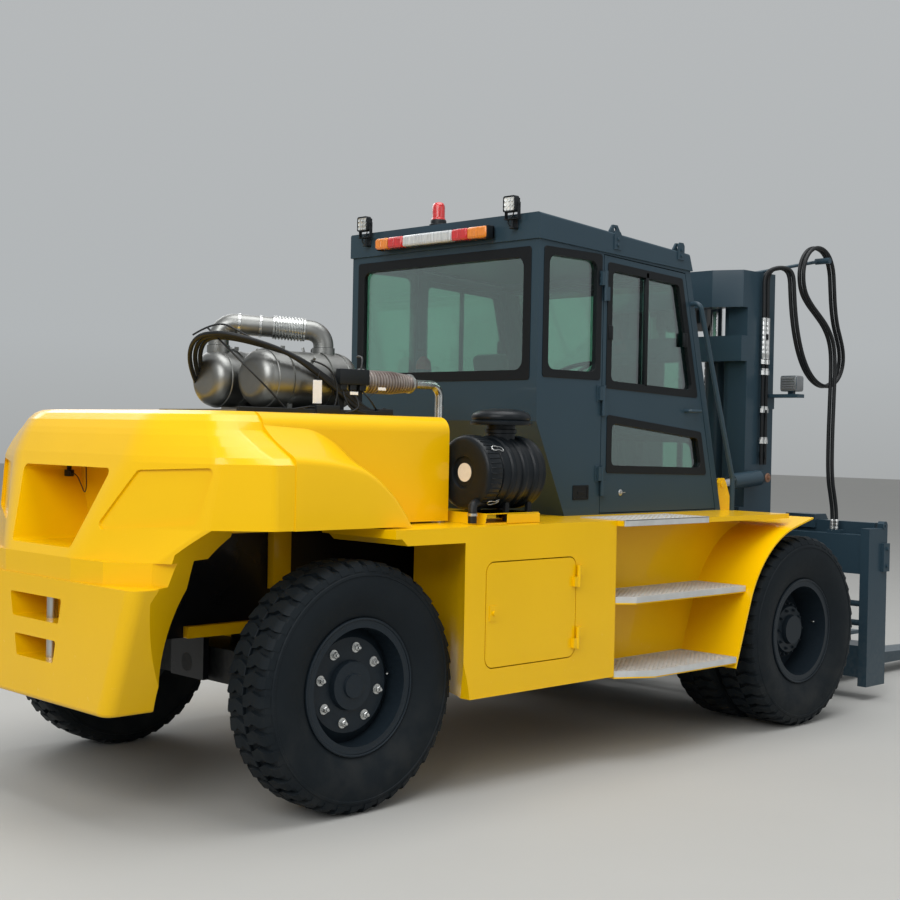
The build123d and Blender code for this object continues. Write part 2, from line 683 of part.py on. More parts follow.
def build_side_box():
    x1 = steer_x + box_front
    top, mid, low = [(steer_x + x, z) for x, z in box_arch]
    lip_x = top[0] - 40
    lines = [Line((lip_x, deck_z), (lip_x, top[1])), Line((lip_x, top[1]), top),
             ThreePointArc(top, mid, low), Line(low, (x1, box_low)),
             Line((x1, box_low), (x1, deck_z)), Line((x1, deck_z), (lip_x, deck_z))]
    face = Plane.XZ.offset(box_face) * make_face(lines)
    body = extrude(face, amount=box_face - box_inner, dir=(0, 1, 0))
    swing = shaft_z(steer_x, -kingpin_half, swing_r, (0, 1310))
    body -= swing
    body -= block((steer_x - 100, steer_x + 560), (-box_face + 15, -box_inner + 5), (0, 1310))
    inside = (steer_x + 790, x1 - box_wall)
    body -= block(inside, (-box_face + box_door_t + 4, -box_inner - box_wall),
                  (box_low + box_wall, deck_z - box_wall))
    opening = block((steer_x + box_door_x[0], steer_x + box_door_x[1]),
                    (-box_face - 1, -box_face + 90), box_door_z)
    opening = fillet(opening.edges().filter_by(Axis.Y), box_door_corner)
    lip = block((steer_x + box_door_x[0] + 25, steer_x + box_door_x[1] - 25),
                (-box_face - 1, -box_face + 90),
                (box_door_z[0] + 25, box_door_z[1] - 25))
    body -= lip
    body -= opening & block((steer_x, x1), (-box_face - 1, -box_face + box_door_t + 4),
                            (0, deck_z))
    body += hinge_leaves(steer_x + box_door_x[1] + 4, -box_face, box_hinge_z, 30, 1)
    parts["side_box_right"] = body
    parts["side_box_left"] = other_side(body)

    door = block((steer_x + box_door_x[0] + door_gap, steer_x + box_door_x[1] - door_gap),
                 (-box_face, -box_face + box_door_t - 4),
                 (box_door_z[0] + door_gap, box_door_z[1] - door_gap))
    door = fillet(door.edges().filter_by(Axis.Y), box_door_corner - door_gap)
    hinge_x = steer_x + box_door_x[1] + 4
    door += hinge_leaves(hinge_x, -box_face, [z - 2 * 30 - fit for z in box_hinge_z], 30, -1)
    latch_x = steer_x + box_door_x[0] + 60
    door += block((latch_x - 30, latch_x + 30), (-box_face - 5, -box_face), (895, 975))
    door += shaft_y(latch_x, 935, 12, (-box_face - 16, -box_face - 5))
    parts["box_door_right"] = door
    parts["box_door_left"] = other_side(door)


def fender_path(offset):
    """The fender's line at a distance outside the arc, lower tail to front tip."""
    r = fender_r + offset
    a0, a1 = [math.radians(a) for a in fender_arc]
    am = (a0 + a1) / 2

    def on(a):
        return (drive_x + r * math.cos(a), axle_z + r * math.sin(a))

    def along(a, length):
        x, z = on(a)
        return (x + length * math.sin(a), z - length * math.cos(a))

    return along(a0, -fender_tail), on(a0), on(am), on(a1), along(a1, fender_tip)


def build_fenders():
    t0, s0, m0, e0, p0 = fender_path(0)
    t1, s1, m1, e1, p1 = fender_path(fender_t)
    lines = [Line(t0, s0), ThreePointArc(s0, m0, e0), Line(e0, p0), Line(p0, p1),
             Line(p1, e1), ThreePointArc(e1, m1, s1), Line(s1, t1), Line(t1, t0)]
    face = Plane.XZ.offset(fender_outer) * make_face(lines)
    arc = extrude(face, amount=fender_outer - fender_inner, dir=(0, 1, 0))

    low = axle_z - 400
    under = [Line(t1, s1), ThreePointArc(s1, m1, e1), Line(e1, (e1[0], low)),
             Line((e1[0], low), (t1[0], low)), Line((t1[0], low), t1)]
    cut_face = Plane.XZ.offset(step_wall_half + 30) * make_face(under)
    below = extrude(cut_face, amount=60, dir=(0, 1, 0))
    wall = block((steer_x + box_front + fit, e1[0]), (-step_wall_half, -step_wall_half + step_plate),
                 (tread_rows[0][0] - 60, deck_z - deck_plate - fit))
    wall -= below
    arc += wall
    x0 = steer_x + box_front + fit
    for top, half, inset in tread_rows:
        z = (top - tread_t - 8, top - tread_t)
        end = fender_x_at(top) + 2
        arc += plan_prism([(x0, -step_wall_half), (x0, -box_face), (x0 + inset, -half + 4),
                           (end, -half + 4), (end, -step_wall_half)], z)
    parts["fender_right"] = arc
    parts["fender_left"] = other_side(arc)


def fender_x_at(z):
    """Rear surface of the fender at a height."""
    tail, start = fender_path(fender_t)[:2]
    if z <= start[1]:
        share = (z - tail[1]) / (start[1] - tail[1])
        return tail[0] + share * (start[0] - tail[0])
    r = fender_r + fender_t
    return drive_x - math.sqrt(r * r - (z - axle_z) ** 2)


def build_treads():
    x0 = steer_x + box_front + 3
    shape = []
    for top, half, inset in tread_rows:
        end = min(fender_x_at(top), fender_x_at(top - tread_t)) - 4
        tread = plan_prism(
            [(x0, -step_wall_half - 1), (x0, -box_face), (x0 + inset, -half), (end, -half),
             (end, -step_wall_half - 1)], (top - tread_t, top))
        shape.append(tread)
    upper = block((steer_x + box_front + 10, steer_x + box_front + 820),
                  (-deck_edge - 8, -step_wall_half - 20), (deck_z, deck_z + 6))
    shape.append(upper)
    solids = [s for piece in shape for s in piece.solids()]
    solids += [other_side(s).solids()[0] for s in solids]
    parts["step_treads"] = Compound(children=solids)


# Cab
def cab_front_x(z):
    """Front face of the cab at a height, from the drive axle."""
    share = (z - deck_z) / (eave_front[1] - deck_z)
    return cab_bottom_front + share * (eave_front[0] - cab_bottom_front)


def cab_point(x, z):
    return (drive_x + x, z)


def door_outline(grow):
    low = cab_door_low - grow
    hinge = cab_door_hinge - grow
    top_rear = cab_door_top[0] + grow
    top_front = cab_door_top[1] + grow
    return [cab_point(hinge, low), cab_point(cab_front_x(low) - pillar + grow, low),
            cab_point(cab_front_x(top_front) - pillar + grow, top_front),
            cab_point(hinge, top_rear)]


def door_windows():
    upper = [(cab_door_hinge + 45, 2176), (cab_front_x(2145) - 112, 2145),
             (cab_front_x(2890) - 112, 2890), (cab_door_hinge + 45, 2925)]
    lower = [(cab_door_hinge + 62, 1656), (cab_front_x(1638) - 125, 1638),
             (cab_front_x(1900) - 125, 1900), (cab_door_hinge + 62, 1990)]
    return [[cab_point(*p) for p in upper], [cab_point(*p) for p in lower]]


def build_cab():
    rear = roof_rear[0]
    shell_outline = [cab_point(rear, eave_rear_z), cab_point(*eave_front),
                     cab_point(cab_bottom_front, deck_z), cab_point(cab_bottom_rear, deck_z),
                     cab_point(rear, cab_knee_z)]
    shell = side_prism(shell_outline, (-cab_half, cab_half))
    inner_face = offset(Plane.XZ * outline(shell_outline), -cab_wall,
                        kind=Kind.INTERSECTION)
    inner = extrude(Pos(0, cab_half - cab_wall, 0) * inner_face,
                    amount=2 * (cab_half - cab_wall), dir=(0, -1, 0))
    above = block((drive_x + rear + cab_wall, drive_x + eave_front[0] - 80),
                  (-cab_half + cab_wall, cab_half - cab_wall),
                  (rear_window[2] - 240, roof_rear[1] + 32))
    shell = shell - inner - above

    w, z0, z1 = rear_window
    back = (drive_x + rear - 1, drive_x + rear + cab_wall + 1)
    rear_cut = block(back, (-w, w), (z0, z1))
    rear_cut = fillet(rear_cut.edges().filter_by(Axis.X), 40)
    screens = []
    for low, high in front_pane_rows:
        cut = block((drive_x + cab_front_x(high) - 120, drive_x + cab_front_x(low) + 60),
                    (-front_pane_half, front_pane_half), (low, high))
        screens.append(cut)
    side_cut = block((drive_x + side_window_x[0], drive_x + side_window_x[1]),
                     (-cab_half - 1, cab_half + 1), side_window_z)
    side_cut = fillet(side_cut.edges().filter_by(Axis.Y), 30)
    door_cut = side_prism(door_outline(door_gap), (-cab_half - 1, -cab_half + cab_wall))
    door_cut = Compound(children=[door_cut, other_side(door_cut)])
    shell = shell - rear_cut - side_cut - door_cut
    for cut in screens:
        shell -= cut
    leaves = hinge_leaves(drive_x + cab_door_hinge - 3, -cab_half, cab_hinge_z, 45, -1)
    shell = shell + leaves + other_side(leaves)
    parts["cab_shell"] = shell

    fall = (eave_rear_z - eave_front[1]) / (eave_front[0] - rear)
    roof = side_prism([cab_point(rear - 14, eave_rear_z + 14 * fall),
                       cab_point(eave_front[0] + 14, eave_front[1] - 14 * fall),
                       cab_point(*roof_front), cab_point(rear - 14, roof_rear[1])],
                      (-cab_half - 12, cab_half + 12))
    roof = fillet(roof.edges().filter_by(lambda e: abs((e % 0.5).Y) < 0.1).group_by(Axis.Z)[-1], 14)
    fall = (roof_rear[1] - roof_front[1]) / (roof_front[0] - roof_rear[0])
    for x in roof_lug_x:
        z = roof_rear[1] - fall * (x - roof_rear[0])
        for side in (-1, 1):
            y = sorted((side * (cab_half - 20), side * (cab_half - 6)))
            x0 = drive_x + x
            lug = side_prism([(x0 - 50, z - 12), (x0 + 50, z - 20), (x0 + 50, z + 10),
                              (x0 + 22, z + 52), (x0 - 22, z + 52), (x0 - 50, z + 14)], y)
            roof += lug - shaft_y(x0, z + 25, roof_lug_hole_r, (-cab_half, cab_half))
    parts["cab_roof"] = roof

    panes = []
    x = drive_x + rear + 20
    pane = block((x, x + glass_t), (-w + fit, w - fit), (z0 + fit, z1 - fit))
    panes.append(fillet(pane.edges().filter_by(Axis.X), 40))
    for low, high in front_pane_rows:
        line = [cab_point(cab_front_x(low) - 30, low + fit),
                cab_point(cab_front_x(low) - 30 + glass_t, low + fit),
                cab_point(cab_front_x(high) - 30 + glass_t, high - fit),
                cab_point(cab_front_x(high) - 30, high - fit)]
        panes.append(side_prism(line, (-front_pane_half + fit, front_pane_half - fit)))
    for side in (-1, 1):
        y = sorted((side * (cab_half - 28), side * (cab_half - 28 + glass_t)))
        pane = block((drive_x + side_window_x[0] + fit, drive_x + side_window_x[1] - fit), y,
                     (side_window_z[0] + fit, side_window_z[1] - fit))
        panes.append(fillet(pane.edges().filter_by(Axis.Y), 30))
    parts["cab_glass"] = Compound(children=[p.solids()[0] for p in panes])

    door = side_prism(door_outline(0), (-cab_half, -cab_half + cab_door_t))
    glass = []
    for window in door_windows():
        cut = side_prism(window, (-cab_half - 1, -cab_half + cab_door_t + 1))
        cut = fillet(cut.edges().filter_by(Axis.Y), 26)
        door -= cut
        middle = -cab_half + cab_door_t / 2
        face = offset(Plane.XZ.offset(-middle) * outline(window), -fit)
        pane = extrude(face, amount=glass_t, dir=(0, 1, 0))
        glass.append(fillet(pane.edges().filter_by(Axis.Y), 26))
    hinge_x = drive_x + cab_door_hinge - 3
    door += hinge_leaves(hinge_x, -cab_half, [z - 2 * 45 - fit for z in cab_hinge_z], 45, 1)
    handle = pipe([(drive_x - 600, -cab_half, 2045), (drive_x - 600, -cab_half - 46, 2045),
                   (drive_x - 480, -cab_half - 46, 2045), (drive_x - 480, -cab_half, 2045)],
                  [20, 20], 11)
    door += handle
    parts["cab_door_right"] = door
    parts["cab_door_left"] = other_side(door)
    parts["door_glass_right"] = Compound(children=[g.solids()[0] for g in glass])
    parts["door_glass_left"] = other_side(parts["door_glass_right"])


def build_cab_inside():
    x = drive_x - 1250
    floor = deck_z + cab_wall
    seat = block((x - 230, x + 260), (-250, 250), (floor + 320, floor + 430))
    seat += side_prism([(x - 230, floor + 330), (x - 130, floor + 420), (x - 260, floor + 980),
                        (x - 330, floor + 980)], (-230, 230))
    seat += block((x - 150, x + 180), (-200, 200), (floor + fit, floor + 325))
    for side in (-1, 1):
        y = sorted((side * 260, side * 330))
        seat += block((x - 170, x + 190), y, (floor + 600, floor + 650))
        seat += block((x - 170, x - 100), y, (floor + 380, floor + 610))
        y = sorted((side * 240, side * 330))
        seat += block((x - 170, x - 100), y, (floor + 380, floor + 425))
    parts["seat"] = seat
    c = drive_x - 520
    column = side_prism([(c - 60, floor + fit), (c + 110, floor + fit), (c - 40, floor + 760),
                         (c - 190, floor + 700)], (-170, 170))
    top = (c - 180, 0, floor + 770)
    tilt = Plane(origin=top, z_dir=(-0.45, 0, 0.9))
    column += extrude(tilt * Circle(32), amount=90, both=True)
    wheel = Plane(origin=(c - 220, 0, floor + 850), z_dir=(-0.45, 0, 0.9))
    column += wheel * Torus(190, 15)
    column += extrude(wheel * Rectangle(30, 370), amount=8, both=True)
    column += extrude(wheel * Rectangle(370, 30), amount=8, both=True)
    parts["dashboard"] = column


# Exhaust, intake and lights
def build_exhaust():
    floor = hood_top + fit
    centres = ((-350, 2140), (-20, 2140))
    r = 152
    tray = block((steer_x - 300, steer_x + 640), (-560, 180), (floor, floor + 16))
    solids = tray
    for k, (y, z) in enumerate(centres):
        x = (steer_x - 90 - 60 * k, steer_x + 560 - 60 * k)
        can = shaft_x(y, z, r, x)
        can = fillet(can.edges().filter_by(GeomType.CIRCLE), 70)
        for share in (0.3, 0.7):
            band = x[0] + share * (x[1] - x[0])
            can += shaft_x(y, z, r + 7, (band - 16, band + 16))
            can += block((band - 16, band + 16), (y - 90, y + 90), (floor + 10, z - 80))
        solids += can

    y0, z0 = centres[0]
    end = steer_x + 560
    necks = ((steer_x - 60, centres[1][0]), (steer_x + 400, y0))
    for x, y in necks:
        solids += shaft_z(x, y, over_pipe_r + 10, (z0, z0 + r + 28))
    parts["aftertreatment"] = solids
    start = z0 + r + 28 + fit
    (xa, ya), (xb, yb) = necks
    over = pipe([(xa, ya, start), (xa, ya, over_pipe_z), (xb, yb, over_pipe_z - 30),
                 (xb, yb, start)], [84, 84], over_pipe_r)
    slope = Plane(origin=(xa, ya, over_pipe_z), z_dir=(xb - xa, yb - ya, -30))
    for k in range(5):
        ring = Pos(0, 0, 300 + 24 * k) * Cylinder(over_pipe_r + 9, 12)
        over += slope * ring
    out = pipe([(end + fit, y0, z0), (steer_x + 925, y0, z0), (steer_x + 925, y0, deck_z + fit)],
               [100], 34)
    for k in range(6):
        x = end + 40 + 24 * k
        out += shaft_x(y0, z0, 58, (x, x + 13))
    parts["exhaust_pipes"] = Compound(children=[over.solids()[0], out.solids()[0]])


def build_air_cleaner():
    x = steer_x + hood_x[1] + 25
    y = -1030
    z = 1662
    r = 198
    body = shaft_x(y, z, r, (x, x + 110))
    body += shaft_x(y, z, r - 22, (x + 110, x + 130))
    body += shaft_x(y, z, r - 6, (x + 130, x + 465))
    for k in (200, 300, 400):
        body += shaft_x(y, z, r + 2, (x + k, x + k + 30))
    body -= shaft_x(y, z, 85, (x - 1, x + 18))
    body += shaft_z(x + 290, y, 78, (z + 120, z + 270))
    body += shaft_z(x + 290, y, 150, (z + 270, z + 340))
    body += block((x + 150, x + 420), (y - 130, y + 130), (deck_z + fit, deck_z + 10))
    for k in (200, 380):
        body += block((x + k, x + k + 30), (y - 120, y + 120), (deck_z + 5, z - 120))
    parts["air_cleaner"] = body


def build_lights():
    rear = drive_x + roof_rear[0] - 14
    top = roof_rear[1]
    lamps = []
    for side in (-1, 1):
        y = side * 655
        lamp = block((rear - 70, rear + 10), (y - 48, y + 48), (top + 5, top + 100))
        lamp = fillet(lamp.edges().filter_by(Axis.X), 12)
        lamp += block((rear - 40, rear - fit), (y - 20, y + 20), (top - 90, top + 12))
        lamps.append(lamp)
    parts["work_lamps"] = Compound(children=[s for lamp in lamps for s in lamp.solids()])
    bar = block((rear - 95, rear - 15), (-light_bar_half, light_bar_half), light_bar_z)
    bar = fillet(bar.edges().filter_by(Axis.Y), 16)
    for y in (-300, 300):
        bar += block((rear - 20, rear - fit), (y - 40, y + 40),
                     (light_bar_z[0] + 8, light_bar_z[1] - 12))
    beacon = shaft_z(rear + 60, 70, 58, (top + fit, top + 38))
    beacon += shaft_z(rear + 60, 70, 42, (top + 38, top + 150))
    beacon = fillet(beacon.edges().group_by(Axis.Z)[-1], 16)
    parts["roof_lights"] = Compound(children=[bar.solids()[0], beacon.solids()[0]])
    rail = pipe([(drive_x - 553, -cab_half - fit, 2745), (drive_x - 553, -cab_half - 70, 2745),
                 (drive_x - 150, -cab_half - 70, 1600), (drive_x - 150, -cab_half - 70, deck_z + fit)],
                [40, 120], 16)
    parts["handrails"] = both_sides(rail)


# Mast
def rail_solid(x, y, z, web, flange_t):
    shape = block(x, web, z)
    shape += block((x[0], x[0] + flange_t), y, z)
    shape += block((x[1] - flange_t, x[1]), y, z)
    return shape


def build_outer_mast():
    x = (drive_x + outer_rail_x[0], drive_x + outer_rail_x[1])
    y = (outer_flange[0], outer_rail_half)
    rail = rail_solid(x, y, mast_z, (outer_rail_half - outer_rail_web, outer_rail_half),
                      outer_flange[1])
    pivot = (drive_x + mast_pivot[0], mast_pivot[1])
    foot_y = (outer_rail_half - 60, outer_rail_half - 20)
    foot = side_prism([(pivot[0] - 75, 460), (pivot[0] - 40, 410), (x[0] + 30, 330),
                       (x[0] + 30, 900), (x[0] - 20, 860), (pivot[0] - 40, 590),
                       (pivot[0] - 75, 540)], foot_y)
    foot -= shaft_y(pivot[0], pivot[1], pivot_pin_r + fit, (500, 800))
    rail += foot
    pin = (drive_x + tilt_mast_pin[0], tilt_mast_pin[1])
    rail += shaft_y(pin[0], pin[1], 36, (outer_rail_half - 5, tilt_y - 26))
    rail += shaft_y(pin[0], pin[1], tilt_pin_r, (outer_rail_half - 5, tilt_y + 32))
    shape = rail + other_side(rail)
    span = (-outer_rail_half, outer_rail_half)
    beams = (
        # low height, high height, depth behind the rails
        (340.0, 480.0, 34.0),
        (1230.0, 1390.0, 60.0),
        (2420.0, 2600.0, 70.0),
    )
    for low, high, depth in beams:
        shape += block((x[0] - depth, x[0]), span, (low, high))
    shape += plan_prism([(x[0], span[0]), (x[0] - 60, span[0]), (x[0] - 150, span[0] + 200),
                         (x[0] - 150, span[1] - 200), (x[0] - 60, span[1]), (x[0], span[1])],
                        (2800, mast_z[1]))
    for side in (-1, 1):
        y = sorted((side * (chain_y - 30), side * (chain_y + 30)))
        shape += block((x[0] - 2, drive_x + lift_x - chain_wheel_r), y,
                       (chain_anchor_z - 80, chain_anchor_z))
    parts["outer_mast"] = shape

    barrels = []
    lx = drive_x + lift_x
    for side in (-1, 1):
        barrel = shaft_z(lx, side * lift_y, lift_barrel_r, (400, 2560))
        barrel -= shaft_z(lx, side * lift_y, lift_bore_r, (440, 2600))
        y = sorted((side * (lift_y - 60), side * (lift_y + 60)))
        bracket = block((x[0], lx), y, (2440, 2500))
        bracket -= shaft_z(lx, side * lift_y, lift_bore_r + 5, (2300, 2600))
        foot = block((x[0], lx), y, (400, 440))
        barrels.append(barrel + bracket + foot)
    parts["lift_barrels"] = Compound(children=[b.solids()[0] for b in barrels])

    px = x[1] - 60
    shape = block((drive_x + pipe_x[0] - 30, drive_x + pipe_x[1] + 30),
                  (-pipe_y - 22, -outer_rail_half - fit), (2040, 2080))
    for z in (1760, 2600):
        shape += block((drive_x + pipe_x[0] - 30, drive_x + pipe_x[1] + 30),
                       (-pipe_y - 22, -outer_rail_half - fit), (z - 20, z + 20))
    for x_pipe in pipe_x:
        shape += shaft_z(drive_x + x_pipe, -pipe_y, 13, (1690, pipe_top))
        shape += shaft_z(drive_x + x_pipe, -pipe_y, 18, (pipe_top - 300, pipe_top))
    parts["mast_pipes"] = shape
    lamps = []
    for side in (-1, 1):
        y = sorted((side * (outer_rail_half + fit), side * (outer_rail_half + 260)))
        lamp = block((px - 32, px + 58), y, (2170, 2195))
        lamp += block((px - 32, px + 58), sorted((side * (outer_rail_half + fit),
                      side * (outer_rail_half + 14))), (2090, 2195))
        y = sorted((side * (outer_rail_half + 120), side * (outer_rail_half + 250)))
        head = block((px - 32, px + 58), y, (2215, 2325))
        lamp += fillet(head.edges().filter_by(Axis.X), 18)
        y = sorted((side * (outer_rail_half + 165), side * (outer_rail_half + 205)))
        lamp += block((px - 5, px + 30), y, (2190, 2220))
        lamps.append(lamp)
    parts["headlamps"] = Compound(children=[s for lamp in lamps for s in lamp.solids()])


def build_inner_mast():
    x = (drive_x + inner_rail_x[0], drive_x + inner_rail_x[1])
    rail = rail_solid(x, inner_rail_y, inner_z, inner_web_y, inner_flange_t)
    shape = rail + other_side(rail)
    inner = inner_rail_y[0] + 2
    lx = drive_x + lift_x
    shape += block((lx - 70, lx + 70), (-inner_web_y[0] - 2, inner_web_y[0] + 2),
                   (head_low, inner_z[1]))
    shape += block((x[1] - inner_flange_t, x[1]), (-inner, inner),
                   (inner_z[0], inner_z[0] + 27))
    shape += block((x[1] - inner_flange_t, x[1]), (-inner, inner), (head_low - 30, inner_z[1]))
    for side in (-1, 1):
        for cheek in (-chain_width / 2 - 16, chain_width / 2 + 4):
            y = sorted((side * (chain_y + cheek), side * (chain_y + cheek + 12)))
            shape += block((lx - 45, lx + 45), y, (chain_wheel_z - 50, head_low + 1))
    parts["inner_mast"] = shape

    wheels = []
    for side in (-1, 1):
        y0 = side * chain_y
        y = (y0 - chain_width / 2, y0 + chain_width / 2)
        wheel = shaft_y(lx, chain_wheel_z, chain_wheel_r, y)
        wheel += shaft_y(lx, chain_wheel_z, 20, (y[0] - 3.5, y[1] + 3.5))
        wheels.append(wheel)
    parts["chain_wheels"] = Compound(children=[w.solids()[0] for w in wheels])

    rods = []
    for side in (-1, 1):
        rod = shaft_z(lx, side * lift_y, lift_rod_r, (960, head_low - fit))
        rod += shaft_z(lx, side * lift_y, lift_bore_r - 1, (960, 1040))
        rods.append(rod)
    parts["lift_rods"] = Compound(children=[r.solids()[0] for r in rods])

    foot = (drive_x + 525, -505, inner_z[1] + 14)
    end = (drive_x + hose_rest[0], hose_rest[1], hose_rest[2])
    arm = rod_between(foot, end, 12)
    arm += block((foot[0] - 55, foot[0] + 55), (foot[1] - 55, foot[1] + 55),
                 (inner_z[1] + fit, inner_z[1] + 26))
    arm += shaft_y(end[0], end[2], hose_rest_r, (end[1] - 95, end[1] + 20))
    parts["hose_arm"] = arm


def build_chains():
    lx = drive_x + lift_x
    near = chain_wheel_r + fit
    runs = {"chains_rear": [], "chains_front": []}
    loops = []
    for side in (-1, 1):
        y0 = side * chain_y
        y = (y0 - chain_width / 2 + 4, y0 + chain_width / 2 - 4)
        runs["chains_rear"].append(block((lx - near - chain_t, lx - near), y,
                                         (chain_anchor_z + fit, chain_wheel_z - fit)))
        runs["chains_front"].append(block((lx + near, lx + near + chain_t), y,
                                          (carriage_anchor_z + fit, chain_wheel_z - fit)))
        loop = shaft_y(lx, chain_wheel_z, near + chain_t, y) - shaft_y(lx, chain_wheel_z, near, y)
        loop = loop & block((lx - 300, lx + 300), (y[0] - 1, y[1] + 1),
                            (chain_wheel_z, chain_wheel_z + 300))
        loops.append(loop)
    for name, pieces in runs.items():
        parts[name] = Compound(children=[p.solids()[0] for p in pieces])
    wheels = parts["chain_wheels"].solids()
    parts["chain_wheels"] = Compound(children=[*wheels, *[p.solids()[0] for p in loops]])


# Carriage and forks
def build_carriage():
    px = (drive_x + post_x[0], drive_x + post_x[1])
    inner = post_y[0]
    shape = None
    plates = None
    for (bx, bz) in (upper_beam, lower_beam, front_bar):
        bar = block((drive_x + bx[0], drive_x + bx[1]), (-inner - 1, inner + 1), bz)
        shape = bar if shape is None else shape + bar
    for side in (-1, 1):
        y = sorted((side * post_y[0], side * post_y[1]))
        shape += block(px, y, post_z)
        lug = side_prism([(px[1] - 60, post_z[1]), (px[1] - 60, post_z[1] + 30),
                          (px[1] - 42, post_z[1] + 48), (px[1] - 18, post_z[1] + 48),
                          (px[1], post_z[1] + 30), (px[1], post_z[1])],
                         sorted((side * (post_y[0] + 20), side * post_y[1])))
        lug -= shaft_y(px[1] - 30, post_z[1] + 22, 13, (-1300, 1300))
        shape += lug
        pad = sorted((side * (post_y[1] - 1), side * (post_y[1] + 22)))
        shape += block((px[1] - 85, px[1]), pad, (925, 1130))
        y = sorted((side * plate_y[0], side * plate_y[1]))
        lx = drive_x + plate_back
        bx = drive_x + upper_beam[0][0]
        plate = side_prism([(lx, plate_z[0]), (lx + 260, plate_z[0]), (bx, lower_beam[1][0] + 20),
                            (bx, plate_z[1] - 60), (bx - 120, plate_z[1]),
                            (lx, plate_z[1])], y)
        plates = plate if plates is None else plates + plate
        for z in (480, 1120):
            axle = drive_x + (inner_rail_x[0] + inner_rail_x[1]) / 2
            y = sorted((side * (plate_y[1] - 1), side * (outer_rail_half - 140)))
            plates += shaft_y(axle, z, roller_r, y)
    cross_x = (drive_x + 690, drive_x + 720)
    plates += block(cross_x, (-plate_y[0] - 1, plate_y[0] + 1), (500, 1100))
    lx = drive_x + lift_x + chain_wheel_r + chain_t / 2
    for side in (-1, 1):
        y = sorted((side * (chain_y - 30), side * (chain_y + 30)))
        plates += block((lx - 22, cross_x[0] + 5), y, (1030, carriage_anchor_z))
        rod_z = positioner_z(side)
        shape += shaft_y(drive_x + positioner_x, rod_z, 22, (-inner - 1, inner + 1))
    (bx, by, bz) = hose_block
    shape += block((drive_x + bx[0], drive_x + bx[1]), by, (bz[0] - 2, bz[1]))
    parts["carriage"] = shape
    parts["carriage_plates"] = plates


positioner_x = 1200.0
positioner_r = 45.0


def positioner_z(side):
    return 550.0 if side < 0 else 690.0


def fork_solid(side):
    """One fork with its shank, top hook and positioner barrel, at its rest place."""
    thick_x = drive_x + fork_face
    back = thick_x - fork_t
    y = sorted((side * (fork_y - fork_width / 2), side * (fork_y + fork_width / 2)))
    bar_x, bar_z = front_bar
    top = bar_z[1] + fit
    heel = fork_low
    tip = thick_x + fork_length
    profile = [
        (back, heel + 30), (back + 30, heel), (tip - 60, heel), (tip, heel + 18),
        (tip, heel + 30), (thick_x + 900, heel + fork_t), (thick_x + 40, heel + fork_t),
        (thick_x, heel + fork_t + 40), (thick_x, top - 10), (thick_x - 40, top + 40),
        (drive_x + bar_x[0] - fork_clear - 28, top + 40),
        (drive_x + bar_x[0] - fork_clear - 28, bar_z[1] - 60),
        (drive_x + bar_x[0] - fork_clear, bar_z[1] - 60),
        (drive_x + bar_x[0] - fork_clear, top), (back, top),
    ]
    fork = side_prism(profile, y)
    z = positioner_z(side)
    bx = drive_x + positioner_x
    span = sorted((side * 300, side * 680))
    barrel = shaft_y(bx, z, positioner_r, span)
    barrel -= shaft_y(bx, z, 24, (-900, 900))
    y_arm = sorted((side * (fork_y - 40), side * (fork_y + 40)))
    arm = block((bx, back + 2), y_arm, (z - 30, z + 30)) - shaft_y(bx, z, 40, (-2000, 2000))
    return fork + barrel + arm


def build_forks():
    parts["fork_right"] = fork_solid(-1)
    parts["fork_left"] = fork_solid(1)


def build_tilt():
    mast = (drive_x + tilt_mast_pin[0], tilt_mast_pin[1])
    base = (drive_x + tilt_base_pin[0], tilt_base_pin[1])
    length = math.dist(mast, base)
    ux = (base[0] - mast[0]) / length
    uz = (base[1] - mast[1]) / length
    gland = 370.0

    def at(distance):
        return (mast[0] + ux * distance, -tilt_y, mast[1] + uz * distance)

    eye = (-tilt_y - 24, -tilt_y + 24)
    barrel = rod_between(at(40), at(gland), tilt_barrel_r)
    barrel -= rod_between(at(70), at(gland + 5), tilt_rod_r + 8)
    barrel += shaft_y(mast[0], mast[1], 50, eye)
    barrel -= shaft_y(mast[0], mast[1], tilt_pin_r + fit, (-tilt_y - 80, -tilt_y + 80))
    parts["tilt_barrel_right"] = barrel
    rod = rod_between(at(192), at(length - 34), tilt_rod_r)
    rod += shaft_y(base[0], base[1], 42, eye)
    rod -= shaft_y(base[0], base[1], tilt_pin_r + 1.2, (-tilt_y - 80, -tilt_y + 80))
    parts["tilt_rod_right"] = rod
    parts["tilt_barrel_left"] = other_side(barrel)
    parts["tilt_rod_left"] = other_side(rod)


def build_hoses():
    """Two hoses side by side, each arc as wide as its two runs allow."""
    for k, name in enumerate(("hose_a", "hose_b")):
        points = [(pipe_x[k], -pipe_y, pipe_top + fit)]
        for i, (x, y, z) in enumerate(hose_route):
            turn = math.radians(45 * min(max(i - 1, 0), 2))
            points.append((x + k * (pipe_x[1] - pipe_x[0]) * math.cos(turn),
                           y - k * hose_pitch * math.sin(turn), z))
        end = points[-1]
        points.append((end[0], end[1], hose_block[2][1] + fit))
        points = [Vector(drive_x + x, y, z) for x, y, z in points]
        runs = [(b - a) for a, b in zip(points, points[1:])]
        radii = []
        for before, after in zip(runs, runs[1:]):
            half_turn = math.radians(before.get_angle(after)) / 2
            radii.append(0.45 * min(before.length, after.length) / math.tan(half_turn))
        print(name, "radii", [round(v) for v in radii])
        print(name, "runs", [round(v.length) for v in runs])
        tube = pipe(points, radii, hose_r)
        path = FilletPolyline(*points, radius=radii)
        print(name, "length", round(path.length), "volume ratio",
              round(tube.volume / (path.length * math.pi * hose_r ** 2), 4))
        parts[name] = tube


